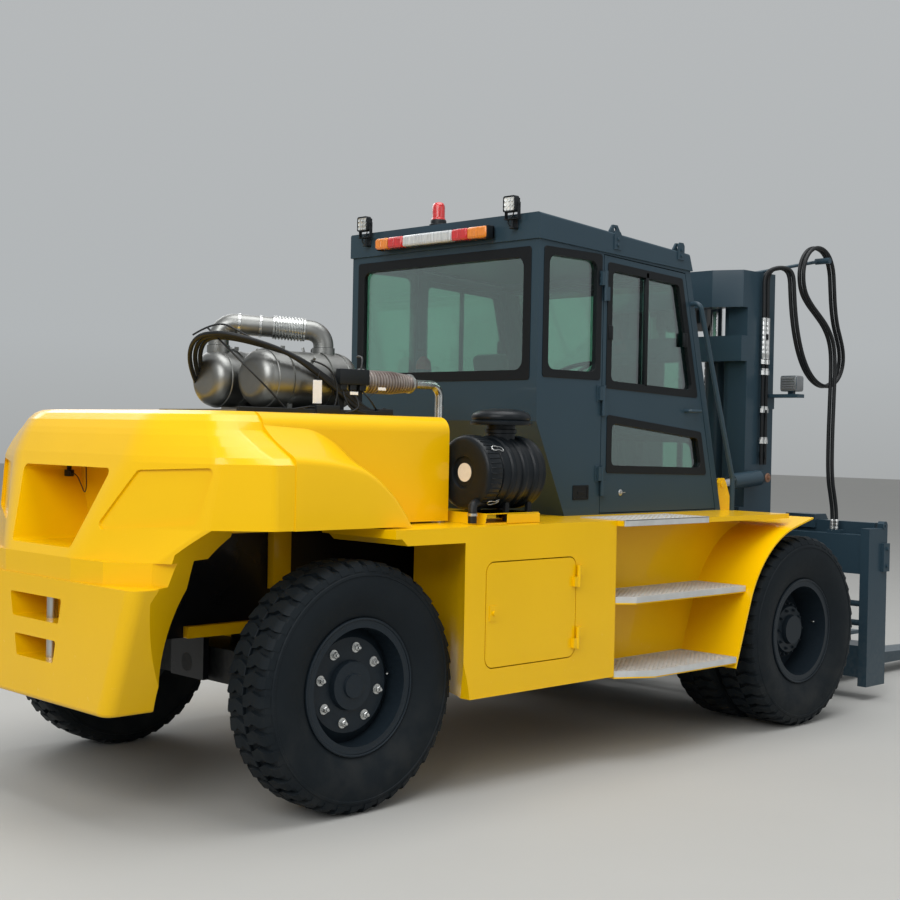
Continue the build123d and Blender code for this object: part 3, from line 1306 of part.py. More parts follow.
def build_all():
    build_wheels()
    build_axles()
    build_frame()
    build_counterweight()
    build_hood()
    build_deck()
    build_side_box()
    build_fenders()
    build_treads()
    build_cab()
    build_cab_inside()
    build_exhaust()
    build_air_cleaner()
    build_lights()
    build_outer_mast()
    build_inner_mast()
    build_chains()
    build_carriage()
    build_forks()
    build_tilt()
    build_hoses()


build_all()
for node, shape in parts.items():
    export_step(shape, "parts/" + node + ".step")
    print(node, len(shape.solids()), round(shape.volume / 1e6, 2))
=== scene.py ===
import math

import bmesh
import bpy
from mathutils import Matrix, Vector
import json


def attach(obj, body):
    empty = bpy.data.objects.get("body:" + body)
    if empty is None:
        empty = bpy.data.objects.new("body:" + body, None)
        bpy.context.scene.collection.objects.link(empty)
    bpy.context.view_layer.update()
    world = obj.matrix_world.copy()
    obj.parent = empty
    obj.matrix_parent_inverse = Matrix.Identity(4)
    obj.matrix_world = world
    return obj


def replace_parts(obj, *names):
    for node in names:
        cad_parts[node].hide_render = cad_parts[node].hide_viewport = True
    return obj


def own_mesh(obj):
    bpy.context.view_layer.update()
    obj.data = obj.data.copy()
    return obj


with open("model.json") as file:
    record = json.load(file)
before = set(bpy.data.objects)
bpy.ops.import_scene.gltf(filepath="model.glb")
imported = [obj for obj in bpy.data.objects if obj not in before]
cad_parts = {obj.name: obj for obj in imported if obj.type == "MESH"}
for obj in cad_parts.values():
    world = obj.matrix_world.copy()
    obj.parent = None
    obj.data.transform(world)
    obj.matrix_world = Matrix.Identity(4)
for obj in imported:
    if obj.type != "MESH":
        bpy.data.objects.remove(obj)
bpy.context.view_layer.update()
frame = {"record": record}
print("frame loaded")

steerX = -3.218  # steer axle
driveX = 0.436  # drive axle, where the mast is hung
nodes = {obj.name: obj for obj in bpy.data.objects if obj.type == "MESH"}
sides = ((-1, "Right"), (1, "Left"))
axles = (("steer", steerX, "steer_wheel_"), ("drive", driveX, "drive_wheels_"))

# Camera, from the wheels and the symmetric pairs on the rear face
view = {"place": (-7.849, -6.474, 1.863), "yaw": 44.49, "down": 0.62, "roll": 1.10, "lens": 57.73}


def newObject(name, data):
    obj = bpy.data.objects.new(name, data)
    bpy.context.scene.collection.objects.link(obj)
    return obj


def addCamera():
    yaw, down, roll = (math.radians(view[key]) for key in ("yaw", "down", "roll"))
    ahead = Vector((math.sin(yaw) * math.cos(down), math.cos(yaw) * math.cos(down), -math.sin(down)))
    right = Vector((math.cos(yaw), -math.sin(yaw), 0.0))
    up = right.cross(ahead)
    across = right * math.cos(roll) + up * math.sin(roll)
    above = up * math.cos(roll) - right * math.sin(roll)
    eye = bpy.data.cameras.new("photoCamera")
    eye.lens = view["lens"]
    eye.sensor_width = 36.0
    eye.clip_end = 200.0
    holder = newObject("photoCamera", eye)
    turn = Matrix((across, above, -ahead)).transposed().to_4x4()
    holder.matrix_world = Matrix.Translation(view["place"]) @ turn
    bpy.context.scene.camera = holder


addCamera()

# Hoses from the mast's side to the carriage, x from the drive axle, in metres
hoses = {
    "diameter": 0.028,
    "start": (0.551, -0.690, 2.7353),
    "end": (1.226, -0.845, 1.2153),
    "spread": (0.046, 0.034),
    "lengths": (5.192, 5.241),
    "route": (
        (0.551, -0.690, 2.870), (0.547, -0.687, 3.046), (0.582, -0.719, 3.094),
        (0.630, -0.762, 3.096), (0.664, -0.792, 3.050), (0.676, -0.793, 2.905),
        (0.702, -0.792, 2.750), (0.749, -0.790, 2.600), (0.822, -0.786, 2.460),
        (0.935, -0.778, 2.345), (1.083, -0.768, 2.276), (1.225, -0.762, 2.268),
        (1.335, -0.766, 2.318), (1.385, -0.776, 2.415), (1.368, -0.790, 2.520),
        (1.303, -0.806, 2.615), (1.218, -0.822, 2.715), (1.160, -0.835, 2.840),
        (1.128, -0.843, 2.985), (1.100, -0.850, 3.125), (1.030, -0.850, 3.228),
        (0.915, -0.850, 3.266), (0.798, -0.850, 3.240), (0.718, -0.847, 3.152),
        (0.700, -0.845, 3.035), (0.742, -0.839, 2.925), (0.832, -0.838, 2.845),
        (0.945, -0.838, 2.776), (1.058, -0.838, 2.700), (1.143, -0.838, 2.596),
        (1.173, -0.838, 2.450), (1.165, -0.838, 2.170), (1.155, -0.838, 1.880),
        (1.160, -0.838, 1.600), (1.205, -0.842, 1.440), (1.226, -0.845, 1.330),
    ),
}


def hosePoints(second):
    points = []
    for index, (x, y, z) in enumerate((hoses["start"], *hoses["route"], hoses["end"])):
        turn = math.radians(45 * min(max(index - 2, 0), 2)) if second else 0.0
        dx = hoses["spread"][0] * math.cos(turn) if second else 0.0
        dy = hoses["spread"][1] * math.sin(turn) if second else 0.0
        points.append((driveX + x - dx, y - dy, z))
    return points


def newLine(name, routes, radius, smooth=8, rings=3):
    # a round line with each route's points as its control points
    line = bpy.data.curves.new(name, "CURVE")
    line.dimensions = "3D"
    line.resolution_u = smooth
    line.bevel_depth = radius
    line.bevel_resolution = rings
    line.use_fill_caps = True
    for route in routes:
        spline = line.splines.new("NURBS")
        spline.points.add(len(route) - 1)
        for point, place in zip(spline.points, route):
            point.co = (*place, 1.0)
        spline.order_u = 3
        spline.use_endpoint_u = True
    return line


def addHose(name, second, node):
    points = hosePoints(second)
    obj = newObject(name, newLine(name, [points], hoses["diameter"] / 2, 10, 5))
    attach(obj, "outer_mast")
    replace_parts(obj, node)
    return obj


hoseA = addHose("hoseOuter", False, "hose_a")
hoseB = addHose("hoseInner", True, "hose_b")
print("camera and hoses made")

# Finishes: shader maths as Python expressions, then one material for each finish


class Link:
    def __init__(self, tree, socket):
        self.tree = tree
        self.socket = socket

    def add(self, kind, settings=None, inputs=None, out=0):
        node = self.tree.nodes.new(kind)
        for key, value in (settings or {}).items():
            if key == "stops":
                band = node.color_ramp
                for index, (place, colour) in enumerate(value):
                    stop = band.elements[index] if index < 2 else band.elements.new(place)
                    stop.position = place
                    stop.color = (*colour, 1.0) if len(colour) == 3 else colour
            else:
                setattr(node, key, value)
        for key, value in (inputs or {}).items():
            if isinstance(value, Link):
                self.tree.links.new(value.socket, node.inputs[key])
            else:
                node.inputs[key].default_value = value
        return Link(self.tree, node.outputs[out])

    def maths(self, operation, *values):
        return self.add("ShaderNodeMath", {"operation": operation}, dict(enumerate(values)))

    def __add__(self, other):
        return self.maths("ADD", self, other)

    def __radd__(self, other):
        return self.maths("ADD", other, self)

    def __sub__(self, other):
        return self.maths("SUBTRACT", self, other)

    def __rsub__(self, other):
        return self.maths("SUBTRACT", other, self)

    def __mul__(self, other):
        return self.maths("MULTIPLY", self, other)

    def __rmul__(self, other):
        return self.maths("MULTIPLY", other, self)

    def __lt__(self, other):
        return self.maths("LESS_THAN", self, other)

    def fade(self, low, high, start=0.0, end=1.0):
        return self.add("ShaderNodeMapRange", {"clamp": True},
                        {"Value": self, "From Min": low, "From Max": high, "To Min": start, "To Max": end})

    def mix(self, first, second):
        node = self.tree.nodes.new("ShaderNodeMix")
        node.data_type = "RGBA"
        self.tree.links.new(self.socket, node.inputs[0])
        for index, value in ((6, first), (7, second)):
            if isinstance(value, Link):
                self.tree.links.new(value.socket, node.inputs[index])
            else:
                node.inputs[index].default_value = (*value, 1.0)
        return Link(self.tree, node.outputs[2])


class Surface:
    def __init__(self, name, **constants):
        self.material = bpy.data.materials.new(name)
        self.material.use_nodes = True
        self.tree = self.material.node_tree
        self.shader = self.tree.nodes["Principled BSDF"]
        self.start = Link(self.tree, None)
        place = self.start.add("ShaderNodeTexCoord", out=3)
        self.place = place
        split = self.tree.nodes.new("ShaderNodeSeparateXYZ")
        self.tree.links.new(place.socket, split.inputs[0])
        self.x, self.y, self.z = (Link(self.tree, out) for out in split.outputs)
        for key, value in constants.items():
            self.shader.inputs[key.replace("_", " ")].default_value = value

    def noise(self, scale, detail=3.0, rough=0.5, place=None):
        return self.start.add("ShaderNodeTexNoise", {"normalize": True},
                              {"Vector": place or self.place, "Scale": scale, "Detail": detail,
                               "Roughness": rough})

    def cells(self, scale):
        return self.start.add("ShaderNodeTexVoronoi", None, {"Vector": self.place, "Scale": scale})

    def stretched(self, scale):
        return self.start.add("ShaderNodeMapping", None, {"Vector": self.place, "Scale": scale})

    def finish(self, colour, rough, height, distance, strength):
        # a roughness of None leaves the shader's own number
        bump = self.start.add("ShaderNodeBump", None,
                              {"Height": height, "Distance": distance, "Strength": strength})
        for key, link in (("Base Color", colour), ("Roughness", rough), ("Normal", bump)):
            if link:
                self.tree.links.new(link.socket, self.shader.inputs[key])
        return self.material


def tones(colour, *shares):
    return [[value * share for value in colour] for share in shares]


def paint(name, colour, rough, dustAmount, coat=0.22):
    skin = Surface(name, Coat_Weight=coat, Coat_Roughness=0.05, Specular_IOR_Level=0.22)
    fine = skin.noise(34.0, 4.0)
    shade = skin.noise(1.6).fade(0.3, 0.7).mix(*tones(colour, 0.97, 1.02))
    dust = skin.z.fade(0.9, 0.15) * fine.fade(0.35, 0.75) * dustAmount
    return skin.finish(dust.mix(shade, (0.33, 0.30, 0.25)), fine * 0.10 + dust * 0.5 + rough,
                       skin.noise(260.0, 2.0), 0.0004, 0.35)


def makeMaterials():
    made = {
        "yellow_paint": paint("yellowPaint", (0.84, 0.49, 0.0005), 0.20, 0.02),
        "grey_paint": paint("greyPaint", (0.025, 0.049, 0.068), 0.30, 0.08, 0.12),
        "black_paint": paint("blackPaint", (0.007, 0.009, 0.011), 0.42, 0.15, 0.05),
    }

    rubber = Surface("tyreRubber", Specular_IOR_Level=0.14)
    grain, worn = rubber.noise(46.0, 4.0), rubber.noise(7.0)
    dust = rubber.z.fade(0.7, 0.05) * worn.fade(0.42, 0.7) * 0.12
    tread = worn.mix((0.005, 0.008, 0.011), (0.009, 0.013, 0.016))
    made["tyre_rubber"] = rubber.finish(dust.mix(tread, (0.10, 0.09, 0.075)), grain * 0.16 + 0.52,
                                        grain, 0.0012, 0.5)

    hose = Surface("hoseRubber", Specular_IOR_Level=0.3)
    weave = hose.noise(150.0, 2.0)
    made["hose_rubber"] = hose.finish(weave.mix((0.004, 0.005, 0.006), (0.010, 0.012, 0.014)),
                                      weave * 0.2 + 0.38, weave, 0.0006, 0.6)

    for slot, name, colour, rough, streak in (
            ("bright_steel", "brightSteel", (0.60, 0.60, 0.58), 0.28, 90.0),
            ("chrome_rod", "chromeRod", (0.82, 0.82, 0.82), 0.10, 160.0),
            ("exhaust_steel", "exhaustSteel", (0.27, 0.275, 0.265), 0.36, 40.0)):
        metal = Surface(name, Metallic=1.0)
        brush = metal.noise(streak, 4.0, 0.6, metal.stretched((0.12, 1.0, 1.0)))
        stain = metal.noise(5.0, 4.0)
        base = stain.fade(0.35, 0.7).mix(*tones(colour, 0.78, 1.0))
        rough = brush * 0.16 + stain * 0.10 + (rough - 0.1)
        made[slot] = metal.finish(base, rough, brush, 0.0003, 0.3)

    plate = Surface("treadPlate", Metallic=0.35)
    scuff = plate.noise(12.0, 4.0)
    made["tread_plate"] = plate.finish(scuff.mix((0.46, 0.47, 0.46), (0.68, 0.69, 0.68)),
                                       scuff * 0.25 + 0.28, plate.noise(220.0, 2.0), 0.0006, 0.4)

    glass = Surface("windowGlass", Base_Color=(0.02, 0.035, 0.035, 1.0), Roughness=0.03,
                    Specular_IOR_Level=0.6)
    clear = glass.start.add("ShaderNodeBsdfTransparent", None, {"Color": (0.62, 0.82, 0.73, 1.0)})
    mirror = glass.start.add("ShaderNodeBsdfGlossy", None,
                             {"Color": (0.92, 0.97, 1.0, 1.0), "Roughness": 0.02})
    streaks = glass.noise(3.0, 2.0)
    edge = glass.start.add("ShaderNodeLayerWeight", None, {"Blend": 0.32}, 1)
    amount = (edge * 0.55 + 0.05) + (streaks * 0.03)
    both = glass.start.add("ShaderNodeMixShader", None, {0: amount, 1: clear, 2: mirror})
    out = glass.tree.nodes["Material Output"]
    glass.tree.links.new(both.socket, out.inputs["Surface"])
    made["window_glass"] = glass.material

    plastic = Surface("blackPlastic", Specular_IOR_Level=0.25)
    haze = plastic.noise(6.0)
    made["black_plastic"] = plastic.finish(haze.mix((0.004, 0.006, 0.008), (0.010, 0.013, 0.016)),
                                           haze * 0.18 + 0.36, plastic.noise(420.0, 2.0), 0.0005, 0.5)

    cloth = Surface("seatCloth", Roughness=0.85, Sheen_Weight=0.25)
    threads = cloth.cells(260.0)
    made["seat_cloth"] = cloth.finish(threads.mix((0.03, 0.03, 0.032), (0.06, 0.06, 0.065)), None,
                                      threads, 0.0010, 0.5)

    lens = Surface("lampLens", Roughness=0.12, Coat_Weight=0.6)
    ribs = lens.noise(80.0, 2.0, 0.5, lens.stretched((1.0, 1.0, 0.15)))
    made["lamp_lens"] = lens.finish(ribs.mix((0.55, 0.02, 0.015), (0.75, 0.05, 0.03)), None,
                                    ribs, 0.0008, 0.4)

    for slot, name, colour, rough in (("chain_steel", "chainSteel", (0.10, 0.10, 0.10), 0.38),
                                      ("engine_paint", "engineIron", (0.05, 0.055, 0.06), 0.5)):
        iron = Surface(name, Metallic=0.6)
        spots = iron.noise(30.0, 5.0)
        made[slot] = iron.finish(spots.mix(*tones(colour, 0.5, 1.3)), spots * 0.3 + rough - 0.1,
                                 spots, 0.0008, 0.4)
    return made


materials = makeMaterials()


def trimMaterial(name, dark, light, rough, metal=0.0, grain=60.0, depth=0.0005):
    skin = Surface(name, Metallic=metal, Specular_IOR_Level=0.22)
    spots = skin.noise(grain, 4.0)
    return skin.finish(spots.mix(dark, light), spots * 0.16 + (rough - 0.08), spots, depth, 0.4)


def lensMaterial(name, dark, light, ribs=(1.0, 60.0, 1.0)):
    lens = Surface(name, Roughness=0.10, Coat_Weight=0.8, Coat_Roughness=0.04)
    wave = lens.noise(9.0, 2.0, 0.5, lens.stretched(ribs))
    return lens.finish(wave.fade(0.3, 0.7).mix(dark, light), None, wave, 0.004, 0.5)


def railPaint():
    # the chassis rails are yellow; low down between the wheels, under the deck, they carry near-black painted
    # shade
    skin = Surface("railPaint", Coat_Weight=0.15, Coat_Roughness=0.06, Specular_IOR_Level=0.2)
    # painted shade: the rails' inner part under the deck is turned near-black where shade falls
    deep = (skin.y.maths("ABSOLUTE", skin.y) < 0.55) * (skin.z < 1.386)
    shade = skin.noise(3.0).fade(0.3, 0.7)
    yellow = shade.mix((0.83, 0.48, 0.001), (0.88, 0.51, 0.001))
    return skin.finish(deep.mix(yellow, (0.006, 0.007, 0.009)), shade * 0.08 + 0.24,
                       skin.noise(240.0, 2.0), 0.0004, 0.3)


# name, darkest colour, lightest colour, roughness, metal, grain, depth of the grain
zincNuts = trimMaterial("zincNuts", (0.42, 0.43, 0.43), (0.72, 0.73, 0.72), 0.30, 1.0)
rimPaint = trimMaterial("rimPaint", (0.008, 0.013, 0.018), (0.013, 0.020, 0.027), 0.36)
sealRubber = trimMaterial("sealRubber", (0.003, 0.004, 0.005), (0.007, 0.009, 0.011), 0.40)
blankLabel = trimMaterial("blankLabel", (0.62, 0.56, 0.46), (0.74, 0.69, 0.60), 0.5)
blankTag = trimMaterial("blankTag", (0.70, 0.71, 0.72), (0.80, 0.81, 0.82), 0.5)
extinguisherRed = trimMaterial("extinguisherRed", (0.30, 0.006, 0.006), (0.42, 0.012, 0.010), 0.3)
pinBrass = trimMaterial("pinBrass", (0.20, 0.10, 0.06), (0.34, 0.20, 0.14), 0.4, 0.7)
lampGrey = trimMaterial("lampGrey", (0.15, 0.16, 0.17), (0.26, 0.27, 0.28), 0.24, 0.4, 12.0)
brightPipe = trimMaterial("brightPipe", (0.46, 0.47, 0.46), (0.66, 0.67, 0.66), 0.26, 1.0, 18.0)
heatedBellows = trimMaterial("heatedBellows", (0.16, 0.085, 0.075), (0.62, 0.60, 0.57), 0.36, 0.8, 9.0)
cleanerPlastic = trimMaterial("cleanerPlastic", (0.003, 0.005, 0.007), (0.008, 0.011, 0.014), 0.36,
                              0.0, 30.0, 0.0008)
lensFinish = {
    "amber": lensMaterial("amberLens", (0.50, 0.13, 0.004), (0.95, 0.30, 0.02)),
    "red": lensMaterial("redLens", (0.30, 0.004, 0.006), (0.75, 0.02, 0.02)),
    "clear": lensMaterial("clearLens", (0.30, 0.32, 0.33), (0.72, 0.75, 0.76)),
    "led": lensMaterial("ledLens", (0.34, 0.36, 0.36), (0.85, 0.87, 0.86), (1.0, 1.0, 1.0)),
}


def dressNodes():
    special = {"frame": railPaint(), "mast_pipes": materials["black_paint"]}
    for node in ("steer_rim_right", "steer_rim_left", "drive_rims_right", "drive_rims_left"):
        special[node] = rimPaint
    for part in frame["record"]["subparts"]:
        obj = nodes[part["node"]]
        finish = special.get(part["node"], materials[part["material_slot"]])
        if not obj.material_slots:
            obj.data.materials.append(finish)
        for slot in obj.material_slots:
            slot.material = finish


dressNodes()
for hose in (hoseA, hoseB):
    hose.data.materials.append(materials["hose_rubber"])
print("materials made")

# Tools for the pieces
upright = Vector((0, 0, 1))
directions = {"x": (Vector((1, 0, 0)), upright), "y": (Vector((0, 1, 0)), upright),
              "z": (upright, Vector((1, 0, 0)))}
outward = {side: (Vector((0, side, 0)), upright) for side, word in sides}


def freshVerts(bm, before):
    return [vert for vert in bm.verts if vert not in before]


def softEdges(bm, before, edge, segments=2):
    rims = list({rim for vert in freshVerts(bm, before) for rim in vert.link_edges})
    bmesh.ops.bevel(bm, geom=rims, offset=edge, affect="EDGES", segments=segments, profile=0.5,
                    material=-1)


def spun(bm, profile, place, axis, steps, closed=False):
    # profile pairs are radius and distance along the axis
    along, out = directions[axis] if isinstance(axis, str) else axis
    place = Vector(place)
    before = set(bm.verts)
    points = [bm.verts.new(place + along * depth + out * radius) for radius, depth in profile]
    partners = points[1:] + (points[:1] if closed else [])
    edges = [bm.edges.new(pair) for pair in zip(points, partners)]
    bmesh.ops.spin(bm, geom=points + edges, cent=place, axis=along, angle=2 * math.pi, steps=steps,
                   use_merge=True)
    bmesh.ops.remove_doubles(bm, verts=freshVerts(bm, before), dist=0.00001)


def sleeve(bm, inner, outer, low, high, place, axis, steps, closed=False):
    # a plain ring, or a rod where the inner radius is 0
    spun(bm, [(inner, low), (outer, low), (outer, high), (inner, high)], place, axis, steps, closed)


def slab(bm, low, high, edge, segments=2, at=(0, 0, 0)):
    # a block with bevelled edges, its corners counted from a place
    before = set(bm.verts)
    low, high = Vector(low) + Vector(at), Vector(high) + Vector(at)
    made = bmesh.ops.create_cube(bm, size=1.0)["verts"]
    bmesh.ops.scale(bm, vec=high - low, verts=made)
    bmesh.ops.translate(bm, vec=(high + low) / 2, verts=made)
    softEdges(bm, before, edge, segments)


def sideSlab(bm, side, low, high, edge, segments=2, at=(0, 0, 0)):
    # y counts outward from the place
    near, far = sorted((side * low[1], side * high[1]))
    slab(bm, (low[0], near, low[2]), (high[0], far, high[2]), edge, segments, at)


def bothSides(bm, low, high, edge, segments=2, at=(0, 0, 0)):
    for side, word in sides:
        sideSlab(bm, side, low, high, edge, segments, at)


def grow(bm, faces, depth):
    made = bmesh.ops.extrude_face_region(bm, geom=faces, use_keep_orig=True)["geom"]
    verts = [item for item in made if isinstance(item, bmesh.types.BMVert)]
    bmesh.ops.translate(bm, vec=depth, verts=verts)


def outlineFace(bm, outline):
    return bm.faces.new([bm.verts.new(point) for point in outline])


def band(bm, outline, width, depth):
    # a flat frame of a width inside an outline, grown by depth
    face = outlineFace(bm, outline)
    face.normal_update()
    ring = bmesh.ops.inset_region(bm, faces=[face], thickness=width, use_boundary=True,
                                  use_even_offset=True)["faces"]
    bmesh.ops.delete(bm, geom=[face], context="FACES_ONLY")
    grow(bm, ring, depth)


def joinLoops(bm, loops):
    # faces between each closed loop of points and the next
    for first, second in zip(loops, loops[1:]):
        for k in range(len(first)):
            bm.faces.new((first[k - 1], first[k], second[k], second[k - 1]))


def rearPane(x, y0, y1, z0, z1):
    return [(x, y0, z0), (x, y1, z0), (x, y1, z1), (x, y0, z1)]


def sidePane(y, x0, x1, z0, z1):
    return [(x0, y, z0), (x1, y, z0), (x1, y, z1), (x0, y, z1)]


def trios(corners):
    # every corner of a closed outline between its neighbours
    corners = [Vector(corner) for corner in corners]
    return zip(corners[-1:] + corners[:-1], corners, corners[1:] + corners[:1])


def cornerArc(before, corner, after, radius, steps):
    back, ahead = (before - corner).normalized(), (after - corner).normalized()
    half = back.angle(ahead) / 2
    centre = corner + (back + ahead).normalized() * (radius / math.sin(half))
    start = corner + back * (radius / math.tan(half)) - centre
    end = corner + ahead * (radius / math.tan(half)) - centre
    return [centre + start.slerp(end, k / steps) * radius for k in range(steps + 1)]


def rounded(corners, radius, steps=5):
    return [point for trio in trios(corners) for point in cornerArc(*trio, radius, steps)]


def bolt(bm, place, axis, radius, height, stud=0.0):
    # hexagon head on a washer, with a stud through a nut
    sleeve(bm, 0, radius * 1.5, 0, height * 0.18, place, axis, 20)
    spun(bm, [(0, 0), (radius, 0), (radius, height * 0.85), (radius * 0.82, height), (0, height)],
         place, axis, 6)
    if stud:
        spun(bm, [(0, height), (radius * 0.5, height), (radius * 0.5, height + stud),
                  (radius * 0.38, height + stud * 1.15), (0, height + stud * 1.15)], place, axis, 12)


def placed(obj, body):
    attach(obj, body)
    return obj


def newPiece(name, bm, body, slotName, material=None, sharp=35.0):
    mesh = bpy.data.meshes.new(name)
    bmesh.ops.recalc_face_normals(bm, faces=bm.faces)
    bm.to_mesh(mesh)
    bm.free()
    for face in mesh.polygons:
        face.use_smooth = True
    mesh.set_sharp_from_angle(angle=math.radians(sharp))
    mesh.materials.append(material or materials[slotName])
    return placed(newObject(name, mesh), body)


def cable(name, routes, radius, body, slotName, material=None):
    line = newLine(name, routes, radius)
    line.materials.append(material or materials[slotName])
    return placed(newObject(name, line), body)


# Tyres: a casing with rings on its wall and two staggered rows of kinked lugs
tyres = {
    "radius": 0.620, "base": 0.596, "bead": 0.3054, "flange": 0.334, "beadHalf": 0.106,
    "wall": (0.4625, 0.1575), "shoulder": (0.590, 0.141), "lugs": 42, "axle": 0.620,
    "wallRadii": (0.395, 0.425, 0.455, 0.485, 0.515, 0.575, 0.590),
    "wallRings": ((0.352, 0.003), (0.372, 0.0), (0.546, 0.0), (0.549, 0.004), (0.560, 0.004), (0.563, 0.0)),
    # lug stations: offset from the middle, drift round the tyre, half length, radius of the top
    "stations": ((0.003, 0.014, 0.024, 0.6167), (0.034, 0.004, 0.031, 0.6172), (0.060, -0.010, 0.028, 0.6172),
                 (0.088, 0.000, 0.032, 0.6162), (0.116, 0.006, 0.029, 0.6142), (0.139, 0.004, 0.027, 0.600),
                 (0.150, 0.002, 0.026, 0.574)),
    "rows": ((1.045,), (1.243, 0.883)),  # steered wheels, drive wheels
}


def wallOffset(radius):
    # a parabola through the flange, the widest point and the shoulder
    points = ((tyres["flange"], tyres["beadHalf"]), tyres["wall"], tyres["shoulder"])
    total = 0.0
    for r0, y0 in points:
        share = y0
        for r1, y1 in points:
            if r1 != r0:
                share *= (radius - r1) / (r0 - r1)
        total += share
    return total


def makeTyre():
    bm = bmesh.new()
    rings = [(r, wallOffset(r) + extra) for r, extra in tyres["wallRings"]]
    rings += [(r, wallOffset(r)) for r in tyres["wallRadii"]]
    half = [(tyres["bead"], 0.0), (tyres["bead"], tyres["beadHalf"]), (tyres["flange"], 0.1058)]
    half += sorted(rings) + [(tyres["base"], 0.130), (tyres["base"] + 0.002, 0.0)]
    loop = half + [(r, -y) for r, y in reversed(half[1:-1])]
    spun(bm, loop, (0, 0, 0), "y", 84, closed=True)
    steps = tyres["lugs"]
    for row, side in enumerate((-1, 1)):
        before = set(bm.verts)
        bmesh.ops.create_grid(bm, x_segments=6, y_segments=1, size=0.5)
        verts = freshVerts(bm, before)
        faces = list({face for vert in verts for face in vert.link_faces})
        grown = bmesh.ops.extrude_face_region(bm, geom=faces)["geom"]
        tops = {item for item in grown if isinstance(item, bmesh.types.BMVert)}
        for vert in freshVerts(bm, before):
            offset, drift, length, top = tyres["stations"][round((vert.co.x + 0.5) * 6)]
            radius = top if vert in tops else top - 0.030
            length = length if vert in tops else length + 0.004
            angle = (drift + length * (1 if vert.co.y > 0 else -1)) / tyres["radius"]
            vert.co = (radius * math.cos(angle), side * offset, radius * math.sin(angle))
        rims = list({rim for vert in tops for rim in vert.link_edges
                     if all(end in tops for end in rim.verts) and len(rim.link_faces) == 2
                     and rim.calc_face_angle(0.0) > 0.6})
        bmesh.ops.bevel(bm, geom=rims, offset=0.003, affect="EDGES", segments=1, profile=0.5, material=-1)
        lug = freshVerts(bm, before)
        geom = lug + list({rim for vert in lug for rim in vert.link_edges})
        geom += list({face for vert in lug for face in vert.link_faces})
        pitch = 2 * math.pi / steps
        bmesh.ops.rotate(bm, cent=(0, 0, 0), matrix=Matrix.Rotation(row * pitch / 2, 3, "Y"), verts=lug)
        bmesh.ops.spin(bm, geom=geom, cent=(0, 0, 0), axis=(0, 1, 0), angle=pitch * (steps - 1),
                       steps=steps - 1, use_duplicate=True)
    bmesh.ops.recalc_face_normals(bm, faces=bm.faces)
    form = bpy.data.meshes.new("tyreForm")
    bm.to_mesh(form)
    bm.free()
    return form


def addTyres():
    form = makeTyre()
    for side, word in sides:
        for (kind, x, body), rows in zip(axles, tyres["rows"]):
            bm = bmesh.new()
            for y in rows:
                before = set(bm.verts)
                bm.from_mesh(form)
                bmesh.ops.translate(bm, vec=(x, side * y, tyres["axle"]), verts=freshVerts(bm, before))
            piece = newPiece(kind + "Tyre" + word, bm, body + word.lower(), "tyre_rubber", sharp=28.0)
            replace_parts(piece, kind + ("_tyre_" if kind == "steer" else "_tyres_") + word.lower())


addTyres()
print("tyres made")

# Wheel nuts, hub bolts, lock rings and valves
wheels = {
    # count, ring radius, face, bolt radius, height, stud, turn in steps
    "steerNuts": (8, 0.187, 1.080, 0.017, 0.024, 0.012, -0.27),
    "driveBolts": (22, 0.169, 1.229, 0.012, 0.018, 0.006, 0.0),
    "capBolts": (10, 0.128, 1.2705, 0.009, 0.012, 0.006, 0.0),
    "lockRing": (0.322, 0.010), "rimFace": (1.165, 1.363), "valve": (0.262, 0.10, 0.035),
    "lip": ((0.3342, -0.012), (0.3400, -0.010), (0.3400, 0.004), (0.334, 0.0075), (0.328, 0.004)),
}


def boltRing(bm, x, side, name):
    count, ring, face, radius, height, stud, phase = wheels[name]
    for k in range(count):
        turn = 2 * math.pi * (k + phase) / count
        place = (x + ring * math.cos(turn), side * face, tyres["axle"] + ring * math.sin(turn))
        bolt(bm, place, outward[side], radius, height, stud)


def addWheelTrim():
    ring, thick = wheels["lockRing"]
    circle = [(ring + thick * math.cos(a), thick * 0.6 * math.sin(a) - 0.004)
              for a in (math.radians(45 * k) for k in range(8))]
    for side, word in sides:
        bm = bmesh.new()
        boltRing(bm, steerX, side, "steerNuts")
        newPiece("steerNuts" + word, bm, "steer_wheel_" + word.lower(), "bright_steel", zincNuts)
        bm = bmesh.new()
        for name in ("driveBolts", "capBolts"):
            boltRing(bm, driveX, side, name)
        newPiece("driveBolts" + word, bm, "drive_wheels_" + word.lower(), "black_paint", rimPaint)
        for (kind, x, body), face in zip(axles, wheels["rimFace"]):
            bm = bmesh.new()
            place = (x, side * face, tyres["axle"])
            spun(bm, circle, place, outward[side], 72, closed=True)
            spun(bm, wheels["lip"], place, outward[side], 72)
            newPiece(kind + "LockRing" + word, bm, body + word.lower(), "black_paint", rimPaint)
            ahead, inward, above = wheels["valve"]
            x0, y0, z0 = x + ahead, side * (face - inward), tyres["axle"] + above
            route = [(x0 + 0.012, y0, z0), (x0 - 0.012, y0 + side * 0.025, z0),
                     (x0 - 0.045, y0 + side * 0.055, z0 + 0.004)]
            cable(kind + "Valve" + word, [route], 0.004, body + word.lower(), "bright_steel")


addWheelTrim()
print("wheels made")

